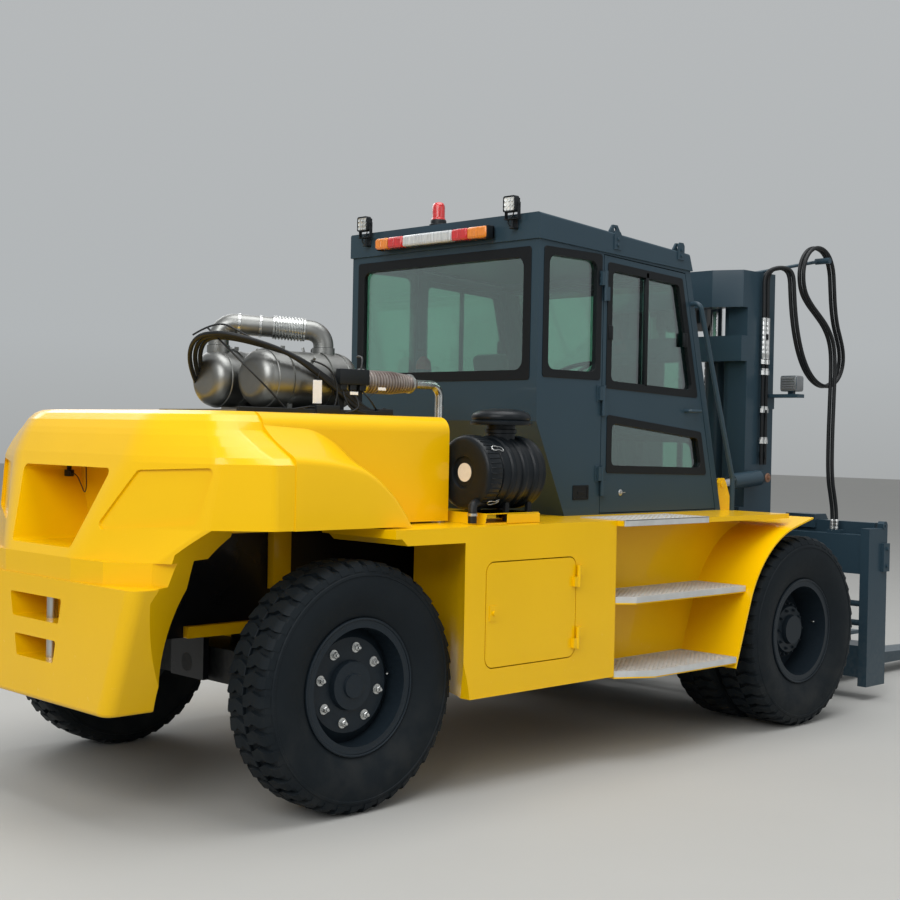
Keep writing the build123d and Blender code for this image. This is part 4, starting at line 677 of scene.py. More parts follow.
# Cab: black seals round every pane, the sliding pane's rail and catches
cab = {
    "rear": -1.606, "half": 0.830, "rearWindow": (0.736, 2.225, 2.940), "proud": 0.005, "depth": 0.024,
    "side": (-1.989, -1.484, 2.222, 2.965), "hinge": -1.449, "front": (-0.181, 1.390, -0.576, 2.958),
    "panes": ((1.960, 2.880), (1.500, 1.880)), "paneHalf": 0.700,
    # hinge side: distance, low end, high end; front side: the same
    "doorPanes": (("Upper", 0.045, 2.176, 2.925, 0.112, 2.145, 2.890),
                  ("Lower", 0.062, 1.656, 1.990, 0.125, 1.638, 1.900)),
    "rail": -1.025, "catch": -0.62,
}


def cabFront(z):
    x0, z0, x1, z1 = cab["front"]
    return x0 + (x1 - x0) * (z - z0) / (z1 - z0)


def grownCorners(corners, amount):
    # every side of the outline moves outward by the amount
    moved = []
    for before, corner, after in trios(corners):
        back, ahead = (before - corner).normalized(), (after - corner).normalized()
        moved.append(corner - (back + ahead).normalized() * (amount / math.sin(back.angle(ahead) / 2)))
    return moved


def sealPiece(name, corners, radius, depth, body, lip=0.012, inward=0.036):
    bm = bmesh.new()
    depth = Vector(depth)
    outer = rounded(grownCorners(corners, lip), 0.020)
    inner = rounded(grownCorners(corners, -inward), radius)
    loops = [[bm.verts.new(point + shift) for point in line] for line, shift in
             ((outer, Vector()), (outer, depth), (inner, depth), (inner, Vector()))]
    joinLoops(bm, loops + loops[:1])
    softEdges(bm, set(), 0.0015, 1)
    newPiece(name, bm, body, "black_plastic", sealRubber)


def addSeals():
    w, low, high = cab["rearWindow"]
    sealPiece("rearSeal", rearPane(cab["rear"] - cab["proud"], -w, w, low, high), 0.06,
              (cab["depth"], 0, 0), "chassis", lip=0.034, inward=0.026)
    w = cab["paneHalf"]
    for low, high in cab["panes"]:
        x0, x1 = driveX + cabFront(low) + 0.004, driveX + cabFront(high) + 0.004
        corners = [(x0, -w, low), (x0, w, low), (x1, w, high), (x1, -w, high)]
        sealPiece("frontSeal" + str(int(high * 10)), corners, 0.05, (-0.030, 0, -0.008), "chassis")
    face = cab["half"] + cab["proud"]
    hinge = driveX + cab["hinge"]
    for side, word in sides:
        y = side * face
        x0, x1, low, high = cab["side"]
        sealPiece("sideSeal" + word, sidePane(y, driveX + x0, driveX + x1, low, high), 0.05,
                  (0, -side * 0.032, 0), "chassis")
        body = "cab_door_" + word.lower()
        for pane, back, low, high, ahead, frontLow, frontHigh in cab["doorPanes"]:
            corners = [(hinge + back, y, low), (driveX + cabFront(frontLow) - ahead, y, frontLow),
                       (driveX + cabFront(frontHigh) - ahead, y, frontHigh), (hinge + back, y, high)]
            sealPiece("doorSeal" + pane + word, corners, 0.035, (0, -side * 0.026, 0), body)
        bm = bmesh.new()  # the sliding pane's upright and its catches
        sideSlab(bm, side, (-0.014, face - 0.022, 2.19), (0.014, face, 2.905), 0.003,
                 at=(driveX + cab["rail"], 0, 0))
        for x in (hinge + 0.066, driveX + cab["catch"]):
            sideSlab(bm, side, (-0.020, face - 0.014, 2.46), (0.020, face + 0.006, 2.55), 0.006,
                     at=(x, 0, 0))
        newPiece("slidingRail" + word, bm, body, "black_plastic", sealRubber)


addSeals()
print("cab seals made")

# Steps: open gratings in a sheet rim, and the strip along the deck's edge
steps = {
    "rear": -1.405, "wall": 0.986, "corner": 1.285, "thick": 0.035, "pitch": (0.0305, 0.044), "rim": 0.006,
    # top height, outer half-width, set-in of the rear end, front end
    "rows": ((0.530, 1.410, 0.220, -0.3745), (0.955, 1.360, 0.100, -0.2172)),
    "strip": (-1.398, -0.588, 1.005, 1.338, 1.396),
}


def stepStart(y, half, inset):
    return steps["rear"] + inset * max(0.0, (y - steps["corner"]) / (half - steps["corner"]))


def grateField(bm, side, spans, top, deep):
    # serrated bars along x and thin ties across, spans give (y, start, end)
    for y, start, end in spans:
        sideSlab(bm, side, (start, y - 0.004, top - deep), (end, y + 0.004, top - 0.001), 0.0015, 1)
    count = int((spans[0][2] - spans[0][1]) / steps["pitch"][1])
    for k in range(1, count):
        x = spans[0][1] + k * steps["pitch"][1]
        reach = max(y for y, start, end in spans if start < x < end)
        sideSlab(bm, side, (x - 0.0045, spans[0][0], top - deep * 0.6), (x + 0.0045, reach, top), 0.0015, 1)


def addSteps():
    for side, word in sides:
        bm = bmesh.new()
        for top, half, inset, end in steps["rows"]:
            corners = ((steps["rear"], steps["wall"]), (end, steps["wall"]), (end, half),
                       (steps["rear"] + inset, half), (steps["rear"], steps["corner"]))
            band(bm, [(x, side * y, top) for x, y in corners], steps["rim"], (0, 0, -steps["thick"]))
            count = int((half - steps["wall"]) / steps["pitch"][0])
            spans = []
            for k in range(1, count + 1):
                y = steps["wall"] + k * (half - steps["wall"]) / (count + 1)
                spans.append((y, stepStart(y, half, inset) + 0.003, end - 0.003))
            grateField(bm, side, spans, top - 0.001, 0.022)
        x0, x1, y0, y1, top = steps["strip"]
        corners = ((x0, y0), (x1, y0), (x1, y1), (x0, y1))
        band(bm, [(x, side * y, top) for x, y in corners], steps["rim"], (0, 0, -0.0055))
        spans = [(y0 + k * steps["pitch"][0], x0 + 0.003, x1 - 0.003) for k in range(1, 11)]
        grateField(bm, side, spans, top - 0.0005, 0.005)
        sideSlab(bm, side, (x0, 1.3305, 1.358), (x1, y1, top), 0.002, 1)
        piece = newPiece("stepGrates" + word, bm, "chassis", "tread_plate")
        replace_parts(piece, "step_treads")


addSteps()
print("steps made")

# Roof: light bar, beacon and square work lamps
roofLamps = {
    "bar": (-1.715, -1.636, 0.494, 3.032, 3.112), "beacon": (-1.560, 0.070, 3.1685), "beaconTop": 3.318,
    # start share, end share, lens
    "lenses": ((0.0, 0.115, "amber"), (0.115, 0.255, "red"), (0.255, 0.70, "clear"), (0.70, 0.835, "red"),
               (0.835, 1.0, "amber")),
    # front, distance from the middle, foot, half width, height
    "work": (-1.690, 0.655, 3.173, 0.048, 0.095),
    # blocks of a work lamp, counted from its front and foot: low corner, high corner, edge, segments
    "workBlocks": (((0.012, -0.044, 0.004), (0.040, 0.044, 0.091), 0.006, 2),
                   ((0.018, -0.053, -0.042), (0.052, 0.053, -0.037), 0.001, 1),
                   ((0.026, -0.018, -0.095), (0.0697, 0.018, -0.086), 0.002, 1),
                   ((0.061, -0.018, -0.095), (0.0697, 0.018, -0.020), 0.002, 1)),
    "lead": ((0.058, 0.01, 0.02), (0.068, 0.02, -0.01), (0.040, 0.050, -0.045), (0.055, 0.035, -0.080),
             (0.080, 0.030, -0.088)),
    "foot": ((0, 0), (0.058, 0), (0.058, 0.008), (0.050, 0.014), (0.050, 0.030), (0.046, 0.038),
             (0, 0.038)),
    "diode": ((0, 0.004), (0.004, 0.0045), (0.010, 0.0035), (0.012, 0.0), (0.010, 0.006), (0, 0.006)),
}


def addLightBar():
    x0, x1, half, low, high = roofLamps["bar"]
    for tint in ("amber", "red", "clear"):
        bm = bmesh.new()
        for start, end, name in roofLamps["lenses"]:
            if name == tint:
                y0, y1 = half - 2 * half * start, half - 2 * half * end
                slab(bm, (x0 + 0.002, y1 + 0.0015, low + 0.005), (x1 - 0.018, y0 - 0.0015, high - 0.005),
                     0.012, 3)
                count = max(1, round((y0 - y1) / 0.07))
                for k in range(count):
                    y = y1 + (k + 0.5) * (y0 - y1) / count
                    slab(bm, (x0 + 0.0005, y - 0.026, low + 0.016), (x0 + 0.006, y + 0.026, high - 0.016),
                         0.002, 1)
        newPiece("lightBar" + tint.title(), bm, "chassis", "lamp_lens", lensFinish[tint])
    bm = bmesh.new()
    slab(bm, (x1 - 0.019, -half, low + 0.002), (x1, half, high - 0.002), 0.004)
    bothSides(bm, (x0 + 0.010, half - 0.014, low), (x1, half, high), 0.006)
    bothSides(bm, (x1 - 0.004, 0.26, low + 0.008), (x1 + 0.0157, 0.34, high - 0.012), 0.002, 1)
    place = roofLamps["beacon"]
    spun(bm, roofLamps["foot"], place, "z", 40)
    slab(bm, (-0.050, -0.030, 0), (0.050, 0.030, 0.004), 0.001, 1, place)
    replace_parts(newPiece("lightBarBase", bm, "chassis", "black_plastic"), "roof_lights")
    bm = bmesh.new()
    height = roofLamps["beaconTop"] - place[2]
    dome = [(0, 0.036), (0.0435, 0.036), (0.0435, 0.046), (0.040, 0.049)]
    dome += [(0.0405 - 0.0008 * (k % 2), 0.052 + 0.005 * k) for k in range(13)]
    dome += [(0.0385, height - 0.022), (0.030, height - 0.007), (0.016, height - 0.001), (0, height)]
    spun(bm, dome, place, "z", 40)
    newPiece("beaconDome", bm, "chassis", "lamp_lens", lensFinish["red"], sharp=60)


def addWorkLamps():
    front, y, foot, reach, height = roofLamps["work"]
    bodies, faces, leads = bmesh.new(), bmesh.new(), []
    for side, word in sides:
        x, y0, z = at = (front, side * y, foot)
        square = rearPane(x + 0.002, y0 - reach, y0 + reach, z, z + height)
        band(bodies, rounded(square, 0.012, 4), 0.007, (0.036, 0, 0))
        for low, high, edge, segments in roofLamps["workBlocks"]:
            slab(bodies, low, high, edge, segments, at)
        for k in range(7):
            fin = -0.036 + 0.012 * k
            slab(bodies, (0.036, fin - 0.002, 0.010), (0.058, fin + 0.002, height - 0.010), 0.001, 1, at)
        bothSides(bodies, (0.022, 0.049, -0.038), (0.048, 0.053, height / 2 + 0.012), 0.001, 1, at)
        for ear, earWord in sides:
            bolt(bodies, (x + 0.035, y0 + ear * 0.053, z + height / 2), outward[ear], 0.006, 0.005)
        sleeve(bodies, 0, 0.006, 0, 0.048, (x + 0.035, y0, z - 0.088), "z", 12)
        slab(faces, (0.006, 0.008 - reach, 0.008), (0.013, reach - 0.008, height - 0.008), 0.001, 1, at)
        for row in (-1, 0, 1):
            for column in (-1, 0, 1):
                spot = (x + 0.001, y0 + column * 0.0265, z + height / 2 + row * 0.0265)
                spun(faces, roofLamps["diode"], spot, "x", 16)
        leads.append([(x + dx, y0 + dy, z + dz) for dx, dy, dz in roofLamps["lead"]])
    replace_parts(newPiece("workLampShells", bodies, "chassis", "black_plastic"), "work_lamps")
    newPiece("workLampLenses", faces, "chassis", "lamp_lens", lensFinish["led"])
    cable("workLampLeads", leads, 0.0035, "chassis", "hose_rubber")


addLightBar()
addWorkLamps()
print("roof lamps made")

# Air cleaner: ribbed drum with a cap, wire clips, a rain cap and its outlet elbow
cleaner = {
    "place": (-2.403, -1.030, 1.662), "neck": -2.113, "ribs": 44, "label": 0.050, "deck": 1.390,
    "saddles": (0.212, 0.388), "swells": (0.150, 0.238, 0.326),
    "lid": ((0, 0.016), (0.080, 0.016), (0.085, 0.002), (0.092, 0.0), (0.168, 0.001), (0.186, 0.006),
            (0.195, 0.016), (0.197, 0.030), (0.197, 0.100), (0.193, 0.108), (0.182, 0.110), (0.180, 0.126),
            (0.186, 0.130)),
    "end": ((0.188, 0.420), (0.193, 0.430), (0.193, 0.450), (0.180, 0.462), (0.150, 0.465), (0, 0.465)),
    "rainCap": ((0.074, 0.120), (0.078, 0.180), (0.078, 0.210), (0.086, 0.214), (0.086, 0.232),
                (0.078, 0.236), (0.078, 0.256), (0.130, 0.262), (0.166, 0.258), (0.170, 0.266),
                (0.170, 0.274), (0.160, 0.279), (0.156, 0.283), (0.162, 0.290), (0.164, 0.302),
                (0.154, 0.320), (0.132, 0.333), (0.100, 0.341), (0.055, 0.346), (0, 0.347)),
    # half of a wire clip: along the drum, round it, out from it
    "clip": ((0.060, 0.0, 0.001), (0.062, 0.013, 0.003), (0.085, 0.015, 0.006), (0.108, 0.008, 0.004),
             (0.130, 0.016, -0.002), (0.152, 0.010, -0.008), (0.156, 0.0, -0.010)),
}


def roundDrum(bm, count, first, low, high, edge):
    # small blocks at even steps round the drum, the first at an angle
    for k in range(count):
        before = set(bm.verts)
        slab(bm, low, high, edge, 1, cleaner["place"])
        turn = Matrix.Rotation(math.radians(first + 360 * k / count), 3, "X")
        bmesh.ops.rotate(bm, cent=cleaner["place"], matrix=turn, verts=freshVerts(bm, before))


def addCleaner():
    x, y, z = at = cleaner["place"]
    bm = bmesh.new()
    drum = list(cleaner["lid"])
    for start in cleaner["swells"]:
        drum += [(0.187, start), (0.187, start + 0.034), (0.197, start + 0.040), (0.199, start + 0.050),
                 (0.199, start + 0.062), (0.197, start + 0.070), (0.187, start + 0.076)]
    spun(bm, [*drum, *cleaner["end"]], at, "x", 72)
    roundDrum(bm, cleaner["ribs"], 0, (0.022, -0.0035, 0.190), (0.104, 0.0035, 0.2005), 0.0012)
    roundDrum(bm, 4, 45, (0.009, -0.004, 0.086), (0.018, 0.004, 0.112), 0.001)
    spun(bm, cleaner["rainCap"], (cleaner["neck"], y, z), "z", 56)
    piece = newPiece("airCleaner", bm, "chassis", "black_plastic", cleanerPlastic, sharp=40)
    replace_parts(piece, "air_cleaner")
    bm = bmesh.new()
    sleeve(bm, 0, cleaner["label"], 0, 0.003, (x + 0.0135, y, z), "x", 40)
    newPiece("cleanerLabel", bm, "chassis", "black_plastic", blankLabel)
    clips = []
    half = cleaner["clip"]
    loop = [*half, *((dx, -dy, dz) for dx, dy, dz in half[-2::-1])]
    for k in range(4):
        turn = math.radians(50 + 90 * k)
        across = Vector((0, math.cos(turn), math.sin(turn)))
        aside = Vector((0, -math.sin(turn), math.cos(turn)))
        clips.append([Vector((x + dx, y, z)) + aside * dy + across * (0.2025 + dz) for dx, dy, dz in loop])
    cable("cleanerClips", clips, 0.0026, "chassis", "bright_steel", zincNuts)
    bm = bmesh.new()  # saddles and bands that carry the drum
    for start in cleaner["saddles"]:
        place = (x + start, y, z)
        bothSides(bm, (0, 0.095, 1.402 - z), (0.030, 0.120, -0.120), 0.002, 1, place)
        sleeve(bm, 0.1875, 0.2000, 0, 0.030, place, "x", 72, True)
    newPiece("cleanerSaddles", bm, "chassis", "black_paint")
    bm = bmesh.new()
    low, high = cleaner["deck"] + 0.0005, cleaner["deck"] + 0.058
    outline = [(x + 0.02, y - 0.150, low), (x + 0.45, y - 0.150, low), (x + 0.45, y - 0.145, high),
               (x + 0.19, y - 0.145, high), (x + 0.04, y - 0.145, high)]
    band(bm, outline, 0.006, (0, 0.30, 0))
    slab(bm, (x + 0.04, y - 0.148, high - 0.006), (x + 0.45, y + 0.150, high), 0.002, 1)
    slab(bm, (x + 0.19, y - 0.156, low + 0.001), (x + 0.45, y - 0.150, high - 0.006), 0.002, 1)
    newPiece("cleanerBracket", bm, "chassis", "yellow_paint")
    ex, ey = x - 0.042, y - 0.120
    elbow = [(x + 0.055, ey + 0.03, z - 0.155), (x + 0.004, ey + 0.02, z - 0.158),
             (ex + 0.012, ey + 0.01, z - 0.170), (ex, ey, z - 0.205), (ex, ey, cleaner["deck"] + 0.008)]
    cable("cleanerElbow", [elbow], 0.024, "chassis", "hose_rubber")
    bm = bmesh.new()
    sleeve(bm, 0.0245, 0.027, 0, 0.014, (ex, ey, z - 0.226), "z", 24, True)
    newPiece("cleanerClamp", bm, "chassis", "bright_steel", zincNuts)


addCleaner()
print("air cleaner made")

# Exhaust: looms over the canisters, a control box, straps' bolts and blank tags
exhaust = {
    "cans": ((-0.350, -0.090), (-0.020, -0.150)), "z": 2.140, "r": 0.152, "length": 0.650,
    "bosses": (40, 105), "box": ((-2.870, -0.560, 2.120), (-2.660, -0.520, 2.205)),
    # blocks on the hood at a height: low corner, high corner, edge, segments
    "hood": 1.955,
    "hoodBlocks": (((-3.548, -0.580, 0.001), (-2.598, -0.562, 0.028), 0.002, 1),
                   ((-3.050, -0.590, 0.001), (-2.890, -0.520, 0.050), 0.006, 2),
                   ((-2.610, -0.580, 0.001), (-2.500, -0.520, 0.040), 0.006, 2)),
    # loom from the far side, over the near dome and down: the last number lowers the next tubes
    "loom": ((-3.30, 0.10, 2.06, 0.0), (-3.44, 0.03, 2.20, 0.0), (-3.52, -0.13, 2.35, 0.0),
             (-3.49, -0.33, 2.37, 0.4), (-3.38, -0.47, 2.33, 0.4), (-3.20, -0.525, 2.275, 0.3),
             (-3.00, -0.53, 2.17, 0.3), (-2.83, -0.535, 2.06, 0.0), (-2.74, -0.55, 1.985, 0.0),
             (-2.66, -0.56, 1.966, 0.0)),
    "leads": (
        ((-3.45, -0.16, 2.40), (-3.47, -0.35, 2.30), (-3.40, -0.49, 2.16), (-3.30, -0.53, 2.06),
         (-3.22, -0.55, 1.975)),
        ((-3.02, -0.50, 2.24), (-2.95, -0.55, 2.22), (-2.90, -0.57, 2.13), (-2.90, -0.575, 2.03),
         (-2.93, -0.57, 1.972)),
        ((-2.835, -0.54, 2.09), (-2.84, -0.57, 2.03), (-2.80, -0.585, 1.98), (-2.70, -0.58, 1.967)),
        ((-2.767, -0.54, 2.09), (-2.75, -0.58, 2.03), (-2.77, -0.59, 1.98), (-2.85, -0.58, 1.967)),
        ((-2.699, -0.54, 2.09), (-2.68, -0.58, 2.05), (-2.62, -0.57, 1.99), (-2.55, -0.52, 1.966)),
        ((-2.70, -0.53, 2.205), (-2.66, -0.50, 2.26), (-2.62, -0.44, 2.285), (-2.60, -0.38, 2.285)),
        ((-3.28, -0.56, 1.966), (-3.15, -0.585, 1.985), (-3.05, -0.56, 2.00), (-2.97, -0.58, 1.967)),
        ((-2.60, -0.57, 1.966), (-2.55, -0.54, 2.00), (-2.48, -0.50, 1.995), (-2.45, -0.42, 1.966)),
        ((-3.50, -0.10, 2.36), (-3.42, -0.20, 2.44), (-3.34, -0.30, 2.38), (-3.28, -0.45, 2.30),
         (-3.20, -0.51, 2.27)),
    ),
    "tags": (((-3.060, -0.566, 2.012), (-3.000, -0.5635, 2.135), 0.001),
             ((-2.828, -0.594, 2.065), (-2.772, -0.592, 2.081), 0.0005),
             ((-2.628, -0.594, 2.095), (-2.572, -0.592, 2.111), 0.0005)),
    "strings": (((-3.03, -0.565, 2.133), (-3.02, -0.56, 2.16), (-3.00, -0.545, 2.18)),
                ((-2.80, -0.593, 2.08), (-2.81, -0.585, 2.085), (-2.835, -0.565, 2.075)),
                ((-2.60, -0.593, 2.105), (-2.63, -0.585, 2.09), (-2.68, -0.578, 2.06))),
}


def addExhaust():
    z, r = exhaust["z"], exhaust["r"]
    bm = bmesh.new()
    for y, start in exhaust["cans"]:
        x = steerX + start
        for share in (0.13, 0.87):  # rolled seams where the domes meet the shell
            spun(bm, [(r - 0.002, -0.010), (r + 0.005, -0.006), (r + 0.005, 0.006), (r - 0.002, 0.010)],
                 (x + share * exhaust["length"], y, z), "x", 64)
        for share in (0.3, 0.7):  # strap bolts
            place = x + share * exhaust["length"]
            for shift in (-0.004, 0.004):
                sleeve(bm, 0, 0.007, 0, 0.060, (place + shift, y - 0.02, z + r + 0.012), "y", 10)
            bolt(bm, (place, y + 0.045, z + r + 0.012), "y", 0.011, 0.010)
            for lug in (-0.024, 0.037):
                slab(bm, (-0.014, lug, 0), (0.014, lug + 0.007, 0.026), 0.002, 1, (place, y, z + r))
        for turn in exhaust["bosses"]:
            angle = math.radians(turn)
            axis = (Vector((0, -math.cos(angle), math.sin(angle))), Vector((1, 0, 0)))
            spun(bm, [(0.011, 0), (0.011, 0.012), (0.008, 0.014), (0.008, 0.034), (0, 0.034)],
                 Vector((x + 0.28 + turn * 0.001, y, z)) + axis[0] * (r - 0.002), axis, 6)
    newPiece("exhaustFittings", bm, "chassis", "exhaust_steel")
    bm = bmesh.new()
    low, high = exhaust["box"]
    slab(bm, low, high, 0.006)
    for k in range(3):
        slab(bm, (-0.022, 0.008, -0.032), (0.022, 0.032, 0.004), 0.004, 1,
             (low[0] + 0.035 + 0.068 * k, low[1], low[2]))
    for leg in (low[0] + 0.02, high[0] - 0.06):
        slab(bm, (0, -0.004, -0.165), (0.04, 0.006, 0.03), 0.002, 1, (leg, high[1], low[2]))
    for low, high, edge, segments in exhaust["hoodBlocks"]:
        slab(bm, low, high, edge, segments, (0, 0, exhaust["hood"]))
    newPiece("exhaustControl", bm, "chassis", "black_plastic")
    loom = [[(x + shift, y, z - shift * drop) for x, y, z, drop in exhaust["loom"]]
            for shift in (0.0, 0.034, 0.066)]
    cable("exhaustLoom", loom, 0.0125, "chassis", "hose_rubber")
    cable("exhaustLeads", exhaust["leads"], 0.005, "chassis", "hose_rubber")
    bm = bmesh.new()
    for low, high, edge in exhaust["tags"]:
        slab(bm, low, high, edge, 1)
    newPiece("exhaustTags", bm, "chassis", "black_plastic", blankTag)
    cable("tagStrings", exhaust["strings"], 0.0015, "chassis", "hose_rubber")


addExhaust()
print("exhaust trim made")

# Hood shoulder: the smooth scoop over the bulge; rows give x, lip height, root height on the hood's wall
shoulder = {
    "rows": ((-3.6675, 1.742, 1.877), (-3.500, 1.730, 1.869), (-3.368, 1.714, 1.858), (-3.243, 1.686, 1.806),
             (-3.147, 1.638, 1.742), (-3.068, 1.578, 1.666), (-3.007, 1.517, 1.586), (-2.956, 1.456, 1.502),
             (-2.925, 1.412, 1.432)),
    # offset from the middle, share of the way from lip to root, extra height
    "scoop": ((0.948, 1.0, 0.014), (0.956, 0.95, 0.011), (0.975, 0.84, 0.010), (1.005, 0.68, 0.009),
              (1.045, 0.49, 0.008), (1.090, 0.315, 0.007), (1.130, 0.165, 0.007), (1.160, 0.055, 0.008),
              (1.178, 0.0, 0.006), (1.192, 0.0, -0.003), (1.201, 0.0, -0.016), (1.2045, 0.0, -0.034)),
    "wall": 1.2045, "foot": 1.3985, "root": 0.940,
}


def smoothRows(rows, steps):
    # a curve through every row
    made = []
    for k in range(len(rows) - 1):
        a, b, c, d = (rows[min(max(k + j, 0), len(rows) - 1)] for j in (-1, 0, 1, 2))
        for step in range(steps):
            t = step / steps
            made.append(tuple(
                q + 0.5 * t * (r - p + t * (2 * p - 5 * q + 4 * r - s + t * (3 * (q - r) + s - p)))
                for p, q, r, s in zip(a, b, c, d)))
    return [*made, rows[-1]]


def addShoulders():
    for side, word in sides:
        bm = bmesh.new()
        sections = []
        for x, lip, root in smoothRows(shoulder["rows"], 5):
            line = [(y, max(shoulder["foot"] + 0.001, lip + share * (root - lip) + extra))
                    for y, share, extra in shoulder["scoop"]]
            line += [(shoulder["wall"], shoulder["foot"]), (shoulder["root"], shoulder["foot"])]
            sections.append([bm.verts.new((x, side * y, z)) for y, z in line])
        joinLoops(bm, sections)
        bm.faces.new(sections[0])
        bm.faces.new(sections[-1])
        newPiece("hoodShoulder" + word, bm, "chassis", "yellow_paint", sharp=50.0)


addShoulders()
print("shoulders made")

# Exhaust pipes: the tube over the canisters and the outlet with its long bellows
pipes = {
    "over": ((-3.278, -0.020, 2.322), (-3.278, -0.020, 2.442), (-2.818, -0.350, 2.412),
             (-2.818, -0.350, 2.322)),
    "overR": 0.0555, "bend": 0.085, "bellows": (0.300, 0.455), "outlet": (-2.656, -0.350, 2.150),
    "elbow": (-1.930, 1.3905), "outR": 0.026, "outBend": 0.070,
    "corrugation": (-2.560, -2.165, 0.050, 0.066, 18),
    "cone": ((0, 0), (0.075, 0.0), (0.072, 0.020), (0.058, 0.045), (0.052, 0.075), (0.052, 0.096),
             (0, 0.096)),
}


def bentPipe(corners, radius):
    # the middle line of a rigid pipe with its bends
    corners = [Vector(corner) for corner in corners]
    bends = [point for trio in zip(corners, corners[1:], corners[2:])
             for point in cornerArc(*trio, radius, 8)]
    return [corners[0], *bends, corners[-1]]


def pipe(name, corners, bend, radius, rings, material=None):
    made = cable(name, [bentPipe(corners, bend)], radius, "chassis", "exhaust_steel", material)
    made.data.splines[0].order_u = 2
    made.data.bevel_resolution = rings
    return made


def bellows(start, end, count, inner, outer, narrower=0.0, lower=0.0):
    # ridges along a tube; the valleys narrow along it, and the ridges over its last part
    made = []
    step = (end - start) / count
    for k in range(count):
        share = k / (count - 1)
        valley, ridge = inner - narrower * share, outer - lower * max(0.0, share - 0.6) / 0.4
        made += [(valley, start + (k + 0.1) * step), (ridge, start + (k + 0.35) * step),
                 (ridge, start + (k + 0.65) * step), (valley, start + (k + 0.9) * step)]
    return made


def clamp(bm, radius, thick, start, place, axis, steps, width=0.018):
    spun(bm, [(radius, start), (radius + thick, start + 0.002), (radius + thick, start + width - 0.002),
              (radius, start + width)], place, axis, steps)


def addPipes():
    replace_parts(pipe("exhaustOverPipe", pipes["over"], pipes["bend"], pipes["overR"], 7), "exhaust_pipes")
    x, y, z = pipes["outlet"]
    elbow, foot = pipes["elbow"]
    pipe("exhaustOutlet", [(x + 0.05, y, z), (elbow, y, z), (elbow, y, foot)], pipes["outBend"],
         pipes["outR"], 6, brightPipe)
    bm = bmesh.new()
    a, b = Vector(pipes["over"][1]), Vector(pipes["over"][2])
    along = (b - a).normalized()
    axis = (along, along.cross(upright).normalized())
    low, high = pipes["bellows"]
    profile = [(0.0555, low - 0.012), (0.063, low - 0.010), (0.063, low)]
    profile += bellows(low, high, 9, 0.0575, 0.0655)
    profile += [(0.063, high), (0.063, high + 0.010), (0.0555, high + 0.012)]
    spun(bm, profile, a, axis, 36)
    for start in (0.10, 0.215):  # clamps on the tube
        clamp(bm, 0.0555, 0.005, start, a, axis, 36)
    newPiece("overBellows", bm, "chassis", "exhaust_steel", brightPipe)
    bm = bmesh.new()
    spun(bm, pipes["cone"], (x, y, z - 0.008), "x", 40)
    x0, x1, inner, outer, count = pipes["corrugation"]
    profile = [(0.028, x0), *bellows(x0, x1, count, inner, outer, 0.010, 0.016)]
    profile += [(0.042, x1), (0.032, x1 + 0.030), (0.026, x1 + 0.034)]
    spun(bm, profile, (0, y, z), "x", 40)
    newPiece("outletBellows", bm, "chassis", "exhaust_steel", heatedBellows)
    bm = bmesh.new()
    sleeve(bm, pipes["outR"], 0.060, 0, 0.010, (elbow, y, foot), "z", 32)
    clamp(bm, 0.066, 0.005, 0, (x0 + 0.004, y, z), "x", 40)
    clamp(bm, 0.049, 0.007, 0, (x1 - 0.020, y, z), "x", 40, 0.016)
    newPiece("outletClamps", bm, "chassis", "bright_steel", zincNuts)


addPipes()
print("exhaust pipes made")

# Cab trim: hinge leaves, lifting plates, lock, vent cover and the extinguisher inside
cabTrim = {
    "hinges": (1.640, 2.130, 2.830), "lugs": (-0.909, -0.264), "lock": (-0.817, 1.523),
    "vent": (-1.271, -1.125, 1.484, 1.572), "extinguisher": (-1.060, 0.712, 2.000),
    "lug": ((-0.034, 3.018), (0.034, 3.018), (0.034, 3.110), (0.020, 3.128), (-0.020, 3.128),
            (-0.034, 3.110)),
    "lockCap": ((0, 0), (0.019, 0), (0.019, 0.003), (0.013, 0.006), (0.011, 0.006), (0.011, 0.003),
                (0.009, 0.003), (0.009, 0.007), (0, 0.007)),
    "bottle": ((0, 0.0), (0.048, 0.0), (0.053, 0.012), (0.053, 0.330), (0.046, 0.362), (0.026, 0.384),
               (0.018, 0.392), (0, 0.392)),
}


